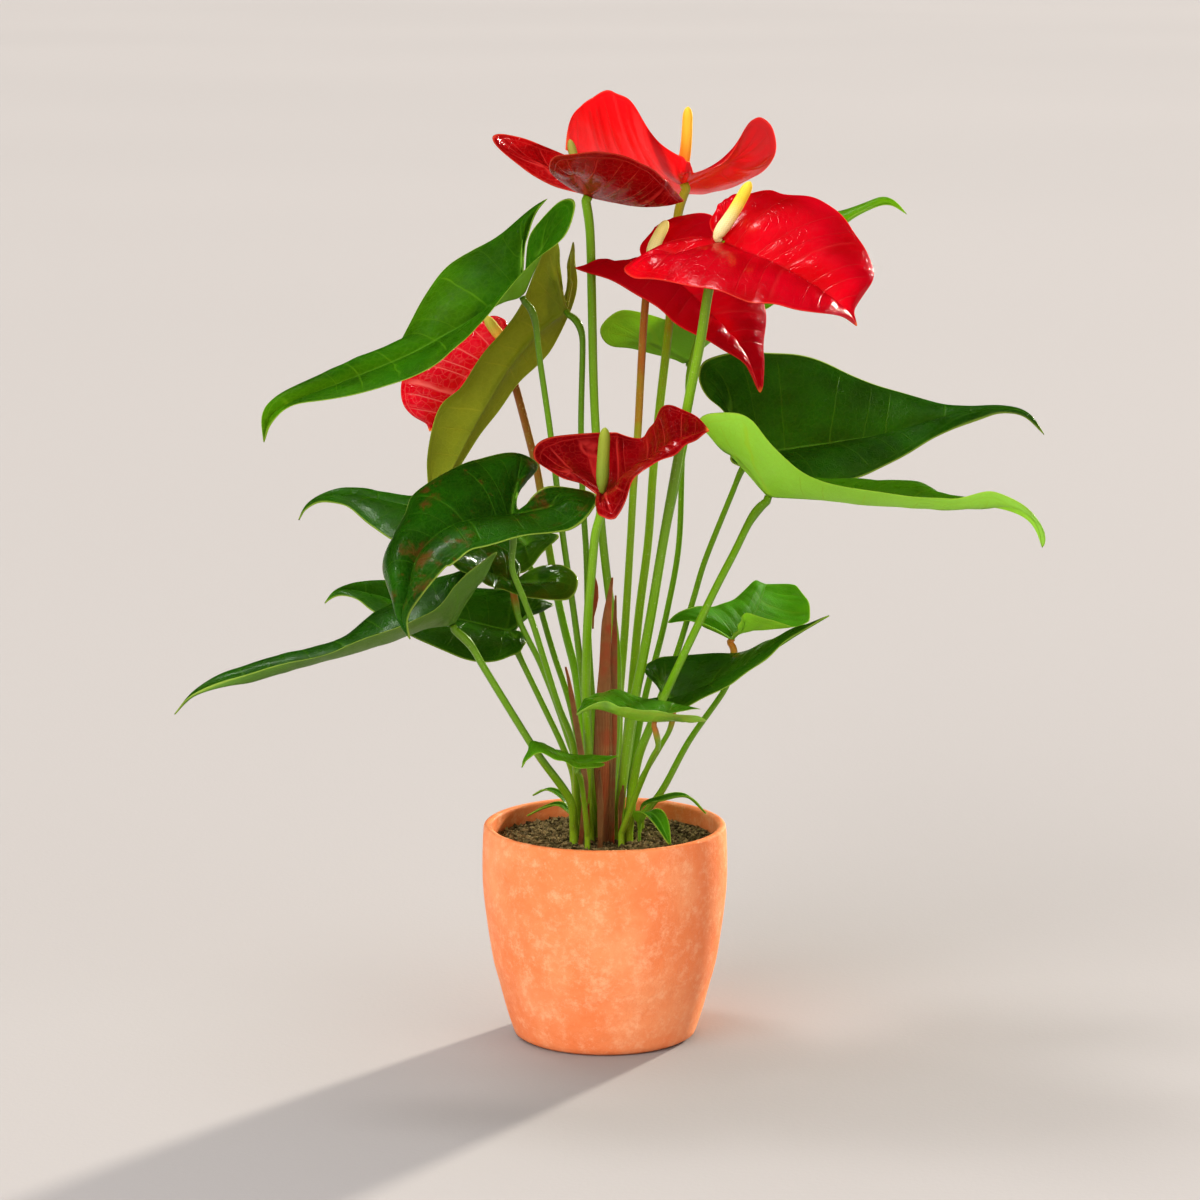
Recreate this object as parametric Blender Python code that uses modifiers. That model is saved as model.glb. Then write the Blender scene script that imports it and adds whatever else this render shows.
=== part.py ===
"""A red anthurium growing in a terracotta pot, built as one standing part.

Sizes are in millimetres and turned into metres by MM. The origin is the middle of the pot's
underside, +Z is up, +X is to the right and -Y is toward the viewer of the photograph.
Every blade is laid out by three hand-placed lines of points: the midrib from the stalk to the
tip, and the left and right edges from the notch behind the stalk round to the tip, as seen from
the blade's upper face with its tip pointing up.
"""

import math

import bmesh
import bpy
import numpy as np
from mathutils import Matrix

MM = 0.001
PLANT = "potted_anthurium"
CUTTERS = "cutters"

# pot: outside radius at each height, then the wall
POT_OUTSIDE = [(0, 48.6), (1.6, 50.2), (14, 54.3), (28, 58.0), (42, 61.7), (56, 64.0), (70, 65.9),
               (84, 67.3), (97, 67.6), (110, 67.3), (117.4, 66.8)]
POT_HEIGHT = 119
POT_WALL = 4.5
POT_FLOOR = 7
POT_SIDES = 48

# soil: a plug that fills the pot, low mound in the middle
SOIL_GAP = 0.5
SOIL_EDGE_HEIGHT = 109.5
SOIL_TOP = [(0, 113.4), (18, 113.0), (34, 111.6), (50, 110.2)]

# stalks stand upright in plain holes in the soil
HOLE_DEPTH_LEVEL = 100.5
STALK_FOOT_LEVEL = 101.0
HOLE_CLEARANCE = 0.35
SOIL_CLEAR_LEVEL = 118
LOW_LEAF_STALK = 0.9
STALK_STEPS = 9
STALK_SIDES = 8

BLADE_THICKNESS = 0.8
LOW_LEAF_THICKNESS = 1.1
SHEATH_THICKNESS = 1.0
JOINT_GAP = 0.5

LEAF_GREEN = (0.05, 0.25, 0.04)
STALK_GREEN = (0.20, 0.40, 0.05)
SPATHE_RED = (0.70, 0.01, 0.03)
SPADIX_YELLOW = (0.85, 0.60, 0.10)
SHEATH_BROWN = (0.35, 0.12, 0.05)

# leaves: blade lines, lift of each half, coarse grid, stalk from the top down, its foot and radii
LEAVES = {
    "leaf_1": {
        "mid": [(-44, -32, 413), (-56, -36, 410), (-71, -42, 401), (-87, -52, 393),
                (-104, -64, 385), (-135, -82, 374), (-158, -92, 366), (-173, -95, 358),
                (-177, -95, 343)],
        "left": [(-43, -28, 420), (-42, -30, 429), (-41, -26, 443), (-34, -32, 454),
                 (-25, -36, 464), (-17, -42, 466), (-15, -50, 461), (-22, -62, 447),
                 (-34, -70, 438), (-44, -76, 429), (-54, -84, 418), (-68, -92, 400),
                 (-80, -96, 391), (-91, -99, 383), (-109, -103, 375), (-143, -106, 367),
                 (-163, -102, 363), (-174, -97, 353)],
        "right": [(-43, -28, 420), (-44, -20, 427), (-43, -14, 436), (-41, -6, 446),
                  (-36, 0, 458), (-30, 4, 463), (-47, 8, 451), (-61, 7, 440), (-81, 1, 430),
                  (-89, -5, 423), (-97, -15, 411), (-106, -32, 394), (-112, -42, 388),
                  (-134, -64, 381), (-156, -80, 373), (-171, -90, 367), (-178, -95, 359)],
        "arch": (2, 5), "grid": (16, 2),
        "stalk": [(-40, -31, 409), (-37, -30, 400), (-35, -29, 381), (-29, -27, 338),
                  (-23, -24, 286), (-16, -18, 234), (-11, -10, 189), (-7, -5, 144)],
        "foot": (-4.5, -1), "radii": (1.6, 1.7, 2.0)},
    "leaf_2": {
        "mid": [(-21, 10, 401), (-35, 12, 390), (-49, 14, 374), (-63, 14, 352), (-78, 10, 325),
                (-87, 4, 307), (-93, -2, 294), (-97, -6, 283)],
        "left": [(-21, 11, 405), (-23, 9, 414), (-24, 8, 428), (-26, 6, 440), (-32, 5, 437),
                 (-38, 5, 423), (-45, 6, 406), (-56, 8, 390), (-63, 8, 382), (-69, 8, 374),
                 (-79, 8, 359), (-86, 7, 354), (-91, 7, 347), (-95, 5, 334), (-97, 3, 320),
                 (-96, 0, 307), (-96, -4, 293)],
        "right": [(-21, 11, 405), (-19, 16, 414), (-18, 22, 427), (-18, 26, 438),
                  (-16, 32, 428), (-15, 33, 413), (-17, 30, 402), (-21, 29, 393),
                  (-27, 28, 383), (-32, 28, 375), (-38, 28, 368), (-49, 27, 357),
                  (-60, 25, 342), (-71, 20, 328), (-80, 15, 315), (-87, 7, 301), (-92, 0, 289)],
        "arch": (3, 3), "grid": (16, 2),
        "stalk": [(-17, 6, 399), (-13, 4, 393), (-12, 5, 384), (-13, 10, 337), (-12, 13, 297),
                  (-10, 13, 264), (-9, 12, 219), (-6, 10, 164)],
        "foot": (-8, 6), "radii": (1.6, 1.7, 2.0)},
    "leaf_3": {
        "mid": [(-49, -85, 302), (-65, -95, 303), (-79, -105, 301), (-90, -115, 295),
                (-97, -125, 286), (-100, -141, 274), (-103, -147, 262), (-99, -151, 250)],
        "left": [(-45, -82, 305), (-42, -84, 307), (-39, -88, 314), (-30, -88, 320),
                 (-16, -90, 319), (-4, -94, 316), (-7, -106, 308), (-16, -114, 302),
                 (-25, -120, 301), (-45, -130, 299), (-60, -137, 296), (-71, -142, 293),
                 (-83, -147, 284), (-93, -149, 273), (-100, -150, 261)],
        "right": [(-45, -82, 305), (-46, -75, 312), (-43, -66, 317), (-35, -55, 325),
                  (-41, -48, 330), (-54, -50, 332), (-67, -55, 330), (-79, -63, 326),
                  (-94, -74, 319), (-102, -84, 313), (-104, -92, 306), (-109, -100, 298),
                  (-114, -108, 289), (-115, -116, 281), (-111, -134, 273), (-106, -143, 261)],
        "arch": (6, 7), "grid": (16, 2),
        "stalk": [(-48, -84, 291), (-49, -83, 276), (-44, -80, 262), (-38, -73, 244),
                  (-34, -66, 229), (-25, -48, 195), (-17, -34, 170), (-15, -18, 136)],
        "foot": (-12, -8.5), "radii": (1.6, 1.7, 2.0)},
    "leaf_4": {
        "mid": [(-51, 32, 278), (-66, 36, 280), (-89, 44, 285), (-111, 52, 288),
                (-137, 60, 291), (-154, 64, 291), (-166, 66, 286), (-172, 66, 277)],
        "left": [(-47, 29, 277), (-36, 22, 277), (-25, 16, 278), (-29, 10, 273), (-35, 4, 268),
                 (-44, -2, 259), (-57, -6, 260), (-76, -6, 264), (-98, 0, 270), (-120, 16, 276),
                 (-136, 36, 285), (-145, 48, 288), (-158, 60, 289), (-167, 64, 284)],
        "right": [(-47, 29, 277), (-39, 38, 279), (-43, 50, 282), (-59, 62, 287),
                  (-80, 72, 291), (-98, 76, 290), (-112, 76, 285), (-130, 76, 288),
                  (-146, 72, 293), (-157, 69, 291), (-167, 68, 285)],
        "arch": (4, 5), "grid": (16, 2),
        "stalk": [(-46, 33, 264), (-41, 33, 256), (-35, 32, 231), (-28, 25, 208),
                  (-19, 15, 182), (-12, 4, 148)],
        "foot": (-10.5, -1.5), "radii": (1.6, 1.7, 2.0)},
    "leaf_5": {
        "mid": [(-49, -35, 259), (-62, -40, 265), (-73, -52, 272), (-84, -65, 278)],
        "left": [(-46, -32, 262), (-40, -36, 267), (-31, -38, 270), (-21, -42, 270),
                 (-14, -50, 263), (-20, -62, 255), (-38, -68, 257), (-57, -70, 262),
                 (-70, -70, 269), (-79, -67, 274)],
        "right": [(-46, -32, 262), (-46, -24, 267), (-51, -16, 273), (-61, -14, 277),
                  (-73, -24, 278), (-80, -46, 277)],
        "arch": (3, 3), "grid": (12, 2),
        "stalk": [(-48, -36, 248), (-46, -36, 239), (-41, -35, 228), (-35, -31, 215),
                  (-27, -25, 193), (-17, -16, 161), (-9, -10, 134)],
        "foot": (-5.5, -7.5), "radii": (1.6, 1.7, 2.0)},
    "leaf_6": {
        "mid": [(-52, -15, 229), (-68, -15, 233), (-81, -15, 236), (-100, -13, 240),
                (-122, -11, 246), (-137, -13, 251), (-146, -17, 251), (-152, -19, 245)],
        "left": [(-49, -12, 229), (-46, -18, 230), (-42, -26, 227), (-46, -36, 222),
                 (-54, -44, 219), (-64, -50, 219), (-77, -54, 222), (-93, -54, 229),
                 (-107, -48, 235), (-123, -34, 243), (-135, -26, 249), (-144, -21, 250)],
        "right": [(-49, -12, 229), (-44, -2, 233), (-36, 10, 235), (-28, 20, 238),
                  (-39, 26, 241), (-55, 28, 245), (-73, 28, 246), (-91, 25, 248),
                  (-106, 19, 252), (-119, 11, 253), (-132, -1, 254), (-143, -13, 253)],
        "arch": (4, 5), "grid": (16, 2),
        "stalk": [(-49, -15, 221), (-45, -14, 212), (-34, -11, 188), (-23, -6, 163),
                  (-17, -2, 144)],
        "foot": (-16, -2), "radii": (1.6, 1.7, 2.0)},
    "leaf_7": {
        "mid": [(-80, -86, 246), (-95, -90, 245), (-113, -94, 239), (-144, -99, 232),
                (-165, -102, 226), (-183, -103, 220), (-196, -103, 218), (-210, -102, 214),
                (-218, -101, 209), (-226, -99, 200)],
        "left": [(-78, -84, 251), (-74, -90, 259), (-69, -98, 267), (-63, -106, 278),
                 (-55, -112, 289), (-68, -120, 283), (-77, -124, 274), (-85, -126, 263),
                 (-95, -127, 258), (-108, -127, 252), (-126, -126, 245), (-142, -124, 239),
                 (-163, -118, 232), (-182, -112, 226), (-198, -106, 220), (-210, -103, 215),
                 (-219, -102, 210)],
        "right": [(-78, -84, 251), (-79, -76, 260), (-76, -68, 265), (-72, -60, 270),
                  (-80, -56, 269), (-89, -54, 266), (-98, -54, 262), (-108, -56, 257),
                  (-116, -58, 251), (-122, -62, 249), (-130, -66, 242), (-138, -70, 236),
                  (-155, -78, 230), (-174, -84, 227), (-194, -90, 223), (-203, -94, 220),
                  (-212, -98, 215), (-219, -100, 209)],
        "arch": (-3, 4), "grid": (16, 2),
        "stalk": [(-71, -83, 235), (-63, -78, 220), (-45, -62, 186), (-35, -50, 167),
                  (-19, -30, 139)],
        "foot": (-17, -15), "radii": (1.9, 2.0, 2.4)},
    "leaf_8": {
        "mid": [(84, 55, 316), (99, 58, 318), (123, 62, 321), (147, 66, 324), (166, 70, 327),
                (199, 76, 334), (222, 80, 338), (237, 82, 336), (248, 82, 323)],
        "left": [(80, 52, 319), (73, 48, 331), (64, 50, 342), (57, 54, 349), (52, 62, 358),
                 (54, 72, 365), (60, 80, 368), (76, 90, 370), (90, 96, 369), (108, 99, 368),
                 (122, 99, 364), (141, 97, 355), (168, 93, 346), (189, 90, 341), (208, 87, 339),
                 (225, 84, 339), (239, 83, 335)],
        "right": [(80, 52, 319), (74, 42, 319), (69, 34, 318), (73, 26, 314), (88, 18, 311),
                  (104, 15, 308), (119, 16, 307), (130, 18, 307), (143, 22, 309),
                  (164, 38, 317), (187, 56, 327), (198, 66, 331), (212, 73, 334),
                  (223, 78, 336), (236, 81, 334)],
        "arch": (3, 5), "grid": (16, 2),
        "stalk": [(80, 54, 313), (76, 52, 308), (71, 49, 296), (56, 40, 260), (50, 35, 241),
                  (40, 27, 209), (28, 20, 178), (17, 14, 146)],
        "foot": (13, 4), "radii": (1.6, 1.7, 2.0)},
    "leaf_9": {
        "mid": [(87, -45, 308), (108, -52, 308), (132, -62, 308), (156, -70, 308),
                (183, -77, 307), (199, -80, 307), (210, -83, 309), (221, -85, 305),
                (227, -85, 297), (229, -84, 286)],
        "left": [(85, -42, 311), (84, -26, 315), (88, -8, 318), (101, 2, 313), (122, 0, 310),
                 (141, -8, 312), (154, -18, 312), (168, -30, 313), (175, -42, 312),
                 (182, -55, 309), (195, -66, 307), (209, -76, 306), (220, -81, 301),
                 (226, -83, 294)],
        "right": [(85, -42, 311), (75, -50, 323), (66, -58, 336), (57, -62, 343),
                  (49, -66, 350), (52, -72, 355), (62, -80, 358), (71, -86, 358),
                  (77, -90, 355), (83, -93, 346), (92, -95, 337), (103, -98, 329),
                  (118, -100, 323), (135, -100, 319), (153, -98, 317), (173, -95, 315),
                  (184, -92, 314), (199, -90, 318), (209, -88, 315), (219, -86, 309),
                  (227, -85, 301), (231, -84, 292)],
        "arch": (4, -4), "grid": (16, 2),
        "stalk": [(83, -46, 303), (77, -48, 295), (69, -51, 279), (59, -54, 260),
                  (45, -57, 231), (33, -57, 205), (24, -50, 183), (17, -36, 159)],
        "foot": (13, -14), "radii": (2.0, 2.2, 2.6)},
    "leaf_10": {
        "mid": [(71, 34, 216), (78, 50, 221), (85, 66, 226), (89, 84, 231), (93, 112, 233)],
        "left": [(70, 31, 216), (61, 22, 223), (47, 12, 231), (34, 6, 229), (40, 16, 234),
                 (52, 32, 235), (62, 48, 232), (73, 66, 233), (80, 82, 236), (86, 96, 238)],
        "right": [(70, 31, 216), (74, 29, 224), (78, 30, 232), (84, 32, 230), (93, 40, 225),
                  (104, 52, 220), (114, 70, 218), (117, 84, 220), (116, 100, 226),
                  (111, 112, 232), (104, 118, 236), (99, 118, 236)],
        "arch": (2, -3), "grid": (12, 2),
        "stalk": [(72, 34, 209), (70, 34, 197), (66, 33, 186), (47, 29, 159), (32, 24, 132)],
        "foot": (20, 17), "radii": (1.6, 1.7, 2.0)},
    "leaf_11": {
        "mid": [(36, -22, 192), (52, -26, 199), (73, -30, 210), (89, -32, 221), (105, -34, 232),
                (121, -36, 242)],
        "left": [(33, -20, 190), (32, -12, 194), (29, -6, 197), (25, -2, 200), (21, 2, 206),
                 (28, 10, 209), (38, 18, 210), (57, 24, 210), (71, 20, 210), (79, 12, 214),
                 (88, 4, 220), (98, -8, 227), (111, -26, 236)],
        "right": [(33, -20, 190), (30, -31, 195), (23, -36, 196), (21, -40, 195),
                  (24, -44, 193), (31, -46, 192), (39, -48, 192), (46, -50, 195),
                  (55, -51, 200), (69, -51, 208), (83, -48, 218), (97, -43, 228), (111, -38, 237)],
        "arch": (2, 3), "grid": (12, 2),
        "stalk": [(37, -21, 183), (35, -20, 175), (30, -16, 165), (20, -11, 146)],
        "foot": (9, -2), "radii": (1.3, 1.5, 1.8)},
    "leaf_12": {
        "mid": [(26, -97, 197), (18, -100, 198), (9, -103, 201), (-1, -107, 205),
                (-8, -110, 206), (-15, -112, 203)],
        "left": [(28, -96, 198), (37, -102, 200), (44, -108, 199), (53, -112, 200),
                 (48, -119, 204), (39, -122, 206), (28, -124, 207), (18, -124, 209),
                 (8, -123, 210), (-1, -121, 212), (-8, -117, 210)],
        "right": [(28, -96, 198), (36, -88, 199), (45, -80, 200), (51, -72, 197),
                  (41, -66, 199), (29, -64, 201), (19, -64, 203), (11, -66, 206), (2, -72, 208),
                  (-7, -84, 208), (-12, -98, 207)],
        "arch": (-2, 2), "grid": (12, 2),
        "stalk": [(27, -94, 189), (28, -88, 181), (25, -78, 173), (18, -48, 149)],
        "foot": (9, -21), "radii": (1.3, 1.5, 1.8)},
    "leaf_13": {
        "mid": [(-14, -72, 167), (-24, -78, 173), (-31, -83, 178), (-36, -86, 180),
                (-40, -89, 177), (-44, -90, 170)],
        "left": [(-11, -71, 167), (-6, -78, 167), (0, -86, 171), (-4, -94, 171),
                 (-13, -98, 172), (-23, -98, 175), (-30, -96, 178), (-36, -94, 179),
                 (-40, -92, 175)],
        "right": [(-11, -71, 167), (-4, -65, 167), (3, -57, 167), (8, -50, 168), (-2, -50, 168),
                  (-13, -52, 168), (-23, -58, 172), (-31, -68, 177), (-39, -78, 182),
                  (-41, -86, 178)],
        "arch": (1, 1), "grid": (12, 2),
        "stalk": [(-13, -64, 158), (-11, -44, 139)],
        "foot": (-9.5, -26), "radii": (1.2, 1.4, 1.6)},
    "leaf_14": {
        "mid": [(47, 100, 362), (60, 115, 374), (80, 127, 392), (106, 137, 414),
                (135, 143, 437), (152, 145, 447), (163, 146, 450), (174, 145, 442)],
        "left": [(44, 98, 362), (41, 105, 367), (36, 114, 373), (33, 124, 378), (39, 134, 385),
                 (55, 141, 394), (81, 147, 412), (101, 151, 430), (121, 153, 441),
                 (137, 153, 444), (150, 151, 449), (160, 148, 453), (167, 146, 450)],
        "right": [(44, 98, 362), (37, 91, 366), (23, 81, 371), (12, 73, 374), (5, 67, 375),
                  (0, 64, 378), (-3, 63, 385), (1, 69, 391), (10, 77, 395), (24, 81, 392),
                  (39, 83, 387), (53, 83, 387), (68, 89, 389), (82, 97, 394), (92, 105, 393),
                  (105, 111, 404), (119, 119, 420), (138, 133, 440), (153, 141, 447),
                  (164, 145, 448)],
        "arch": (2, -2), "grid": (16, 2),
        "stalk": [(48, 100, 357), (47, 98, 336), (44, 94, 311), (42, 80, 262), (35, 66, 225),
                  (29, 56, 202), (23, 47, 182), (16, 32, 147)],
        "foot": (13, 11), "radii": (1.6, 1.7, 2.0)},
    "leaf_15": {
        "mid": [(48, 92, 406), (31, 90, 412), (14, 88, 417), (1, 86, 420)],
        "left": [(51, 92, 407), (58, 84, 402), (50, 76, 399), (34, 72, 402), (21, 74, 410),
                 (10, 81, 416)],
        "right": [(51, 92, 407), (57, 102, 414), (45, 107, 419), (26, 102, 420), (11, 92, 421)],
        "arch": (1, 1), "grid": (12, 2),
        "stalk": [(50, 90, 399), (53, 80, 392), (53, 72, 384), (49, 66, 371), (46, 61, 357),
                  (46, 60, 329), (35, 54, 274), (25, 46, 224), (18, 37, 181), (12, 25, 143)],
        "foot": (8, 15), "radii": (1.4, 1.5, 1.8)},
}

# flowers: the same for the spathe and its peduncle, and the spadix from its middle to its tip
FLOWERS = {
    "spathe_1": {
        "mid": [(-9, 0, 464), (3, 4, 461), (19, 10, 458), (33, 16, 458), (43, 20, 460)],
        "left": [(-13, 0, 466), (-26, 4, 468), (-41, 6, 476), (-56, 6, 488), (-61, 6, 495),
                 (-56, 20, 496), (-45, 34, 494), (-34, 44, 488), (-19, 52, 481), (0, 54, 475),
                 (19, 46, 467), (34, 32, 462)],
        "right": [(-13, 0, 466), (-21, -12, 471), (-29, -26, 478), (-28, -42, 487),
                  (-19, -50, 490), (-8, -52, 492), (3, -48, 490), (13, -40, 487),
                  (23, -28, 482), (33, -8, 473)],
        "arch": (-3, -4), "grid": (16, 2),
        "stalk": [(-8, 0, 446), (-7, 0, 408), (-6, 0, 359), (-4, 1, 321), (-2, 2, 286),
                  (2, 3, 249), (6, 3, 220), (7, 3, 193), (5, 1, 154)],
        "foot": (0.5, -6.5), "radii": (2.5, 2.3, 2.5),
        "spadix": [(-15, 4, 480), (-19, 8, 494)], "spadix_radius": 2.9},
    "spathe_2": {
        "mid": [(44, 74, 465), (28, 80, 469), (8, 84, 476), (-8, 84, 481), (-22, 80, 484)],
        "left": [(49, 64, 472), (46, 54, 479), (38, 48, 484), (29, 44, 491), (22, 42, 500),
                 (18, 42, 507), (14, 42, 513), (10, 43, 516), (3, 44, 518), (-3, 46, 517),
                 (-9, 48, 513), (-15, 52, 508), (-19, 58, 501), (-21, 68, 491)],
        "right": [(49, 64, 472), (58, 64, 475), (66, 64, 476), (72, 66, 484), (78, 72, 497),
                  (82, 76, 501), (87, 80, 502), (94, 90, 495), (96, 102, 482), (90, 112, 470),
                  (82, 118, 464), (70, 122, 458), (55, 124, 457), (34, 124, 459), (9, 116, 467),
                  (-11, 98, 477)],
        "arch": (-5, -4), "grid": (16, 2),
        "stalk": [(42, 74, 455), (40, 73, 444), (38, 66, 418), (36, 58, 392), (31, 50, 349),
                  (27, 44, 311), (24, 38, 269), (19, 32, 231), (15, 25, 188), (11, 16, 151)],
        "foot": (7, 7), "radii": (2.5, 2.3, 2.5),
        "spadix": [(45, 72, 487), (46, 72, 508)], "spadix_radius": 3.5},
    "spathe_3": {
        "mid": [(60, -60, 445), (73, -66, 440), (91, -76, 433), (109, -86, 423),
                (121, -92, 414), (126, -94, 409), (130, -94, 404)],
        "left": [(58, -54, 447), (55, -44, 452), (57, -34, 457), (64, -26, 463), (77, -22, 467),
                 (88, -22, 469), (95, -24, 467), (109, -28, 466), (119, -34, 461),
                 (127, -40, 455), (135, -52, 443), (140, -66, 432), (139, -74, 425),
                 (134, -82, 419), (129, -90, 412)],
        "right": [(58, -54, 447), (49, -52, 447), (41, -52, 446), (30, -54, 443),
                  (19, -58, 438), (10, -64, 431), (13, -76, 428), (24, -92, 428),
                  (39, -108, 427), (55, -120, 425), (70, -128, 421), (85, -132, 419),
                  (107, -126, 414), (122, -108, 411)],
        "arch": (6, 5), "grid": (16, 2),
        "stalk": [(57, -62, 432), (54, -62, 419), (50, -60, 392), (45, -57, 366),
                  (40, -53, 337), (31, -45, 283), (25, -38, 244), (20, -32, 215),
                  (16, -27, 194), (11, -19, 159)],
        "foot": (7, -9.5), "radii": (2.6, 2.6, 2.7),
        "spadix": [(67, -58, 460), (76, -57, 476)], "spadix_radius": 3.8},
    "spathe_4": {
        "mid": [(25, 22, 428), (41, 14, 415), (57, 4, 400), (72, -2, 381), (79, -4, 368),
                (84, -4, 358)],
        "left": [(20, 26, 429), (19, 38, 433), (23, 46, 437), (28, 52, 444), (37, 56, 447),
                 (48, 58, 450), (59, 58, 449), (72, 54, 439), (81, 44, 423), (87, 32, 405),
                 (88, 22, 392), (86, 12, 378), (86, 0, 363)],
        "right": [(20, 26, 429), (5, 12, 425), (-7, -6, 425), (-17, -12, 427), (-8, -13, 423),
                  (3, -15, 420), (14, -18, 415), (25, -20, 408), (36, -24, 399), (46, -26, 393),
                  (58, -24, 387), (69, -18, 380), (77, -12, 371)],
        "arch": (4, 4), "grid": (16, 2),
        "stalk": [(23, 22, 414), (21, 22, 390), (19, 22, 352), (18, 22, 332), (16, 21, 308),
                  (14, 19, 272), (11, 16, 223), (8, 13, 186), (7, 9, 153)],
        "foot": (2, 1), "radii": (2.2, 2.1, 2.5),
        "spadix": [(29, 24, 440), (34, 26, 449)], "spadix_radius": 3.8},
    "spathe_5": {
        "mid": [(-1, -112, 320), (9, -112, 324), (21, -110, 333), (36, -106, 344),
                (54, -102, 351)],
        "left": [(-4, -112, 319), (-8, -106, 322), (-15, -102, 325), (-22, -99, 326),
                 (-36, -88, 333), (-37, -80, 339), (-31, -74, 343), (-22, -70, 345),
                 (-8, -68, 346), (5, -66, 345), (19, -64, 342), (24, -64, 349), (31, -66, 359),
                 (41, -72, 358), (48, -84, 356)],
        "right": [(-4, -112, 319), (-5, -121, 316), (-3, -132, 311), (3, -136, 310),
                  (8, -138, 314), (12, -140, 322), (14, -140, 330), (19, -138, 335),
                  (25, -134, 338), (33, -128, 341), (40, -120, 344), (48, -110, 348)],
        "arch": (-4, 4), "grid": (16, 2),
        "stalk": [(-3, -109, 305), (-5, -108, 299), (-7, -98, 276), (-9, -84, 250),
                  (-10, -64, 219), (-10, -52, 198), (-9, -38, 166), (-10, -24, 132)],
        "foot": (-8, -14.5), "radii": (2.3, 2.4, 2.5),
        "spadix": [(-1, -112, 338), (0, -112, 354)], "spadix_radius": 3.6},
    "spathe_6": {
        "mid": [(-57, 76, 376), (-70, 74, 366), (-82, 70, 352), (-92, 66, 339), (-98, 64, 328)],
        "left": [(-54, 78, 381), (-46, 74, 375), (-47, 68, 363), (-58, 62, 352), (-73, 58, 341),
                 (-86, 58, 334)],
        "right": [(-54, 78, 381), (-57, 86, 389), (-74, 92, 389), (-94, 90, 378),
                  (-108, 84, 366), (-114, 76, 354), (-113, 70, 343), (-107, 67, 336),
                  (-100, 65, 333)],
        "arch": (3, 4), "grid": (16, 2),
        "stalk": [(-55, 76, 367), (-50, 74, 352), (-42, 70, 322), (-37, 66, 301),
                  (-33, 60, 273), (-30, 56, 256), (-26, 51, 234), (-21, 46, 213),
                  (-16, 41, 194), (-12, 33, 164)],
        "foot": (-2, 9), "radii": (2.3, 2.2, 2.5),
        "spadix": [(-62, 74, 385), (-67, 73, 392)], "spadix_radius": 3.6},
}

# low leaves at the crown: midrib above the soil to the tip, half width, foot in the soil
LOW_LEAVES = {
    "low_leaf_1": {"mid": [(-19, 26, 121), (-24, 30, 127), (-32, 34, 130), (-40, 38, 126)],
                   "half_width": 3.6, "foot": (-14, 20)},
    "low_leaf_2": {"mid": [(-18, 14, 120), (-25, 17, 125), (-33, 20, 123), (-43, 22, 118)],
                   "half_width": 4.2, "foot": (-13, 12)},
    "low_leaf_3": {"mid": [(20, -25, 129), (25, -32, 132), (30, -39, 128), (35, -46, 118)],
                   "half_width": 6.0, "foot": (19, -13)},
    "low_leaf_4": {"mid": [(21, 6, 127), (31, 8, 130), (45, 12, 131), (56, 15, 121)],
                   "half_width": 5.0, "foot": (20, 4)},
}

# dry brown sheaths among the stalks: line from foot to tip and half widths along it
SHEATHS = {
    "sheath_1": {
        "line": [(1, -18, 101), (1, -18, 118), (-1, -24, 150), (-1, -30, 185), (0, -32, 215),
                 (1, -32, 240), (4, -33, 262)],
        "half_widths": (3.6, 4.6, 5.4, 4.6, 3.2, 2.6, 0.5)},
    "sheath_2": {
        "line": [(-13, -20, 101), (-13, -20.5, 113), (-12, -27, 126), (-11, -33, 139),
                 (-10.5, -42, 152), (-13, -46, 170), (-16, -50, 190), (-19, -52, 208), (-21, -53, 217)],
        "half_widths": (1.2, 1.3, 1.5, 1.6, 1.7, 1.6, 1.3, 0.5)},
    "sheath_3": {
        "line": [(-3, -25.5, 101), (-2.5, -26, 118), (-2.5, -31, 138), (-3, -34, 156)],
        "half_widths": (1.3, 1.7, 1.5, 0.5)},
}




def fresh_scene():
    """Empties the file Blender starts with and adds the two collections."""
    for thing in list(bpy.data.objects):
        bpy.data.objects.remove(thing, do_unlink=True)
    for name in (PLANT, CUTTERS):
        bpy.context.scene.collection.children.link(bpy.data.collections.new(name))


def make_material(name, colour, roughness=0.5):
    """One plain Principled material per node."""
    material = bpy.data.materials.new(name)
    material.use_nodes = True
    shader = material.node_tree.nodes["Principled BSDF"]
    shader.inputs["Base Color"].default_value = (*colour, 1.0)
    shader.inputs["Roughness"].default_value = roughness
    return material


def smooth_line(points, count):
    """A smooth line through the points, cut into `count` equal steps along its length."""
    knots = np.array(points, float)
    ends = np.vstack([2 * knots[0] - knots[1], knots, 2 * knots[-1] - knots[-2]])
    fine = []
    for i in range(1, len(ends) - 2):
        p0, p1, p2, p3 = ends[i - 1:i + 3]
        for t in np.linspace(0, 1, 24, endpoint=False):
            fine.append(0.5 * (2 * p1 + (p2 - p0) * t + (2 * p0 - 5 * p1 + 4 * p2 - p3) * t ** 2
                               + (3 * p1 - p0 - 3 * p2 + p3) * t ** 3))
    fine = np.array(fine + [knots[-1]])
    return even_steps(fine, np.linspace(0, 1, count + 1))


def even_steps(line, shares):
    """Points of a polyline at the given shares (0 to 1) of its length."""
    along = np.concatenate([[0], np.cumsum(np.linalg.norm(np.diff(line, axis=0), axis=1))])
    wanted = np.array(shares) * along[-1]
    return np.stack([np.interp(wanted, along, line[:, k]) for k in range(3)], axis=1)


def place_node(name, data, colour, roughness):
    """Puts a mesh or a curve in the plant's collection as a node with its own material."""
    data.materials.append(make_material(name + "_finish", colour, roughness))
    thing = bpy.data.objects.new(name, data)
    bpy.data.collections[PLANT].objects.link(thing)
    return thing


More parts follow.
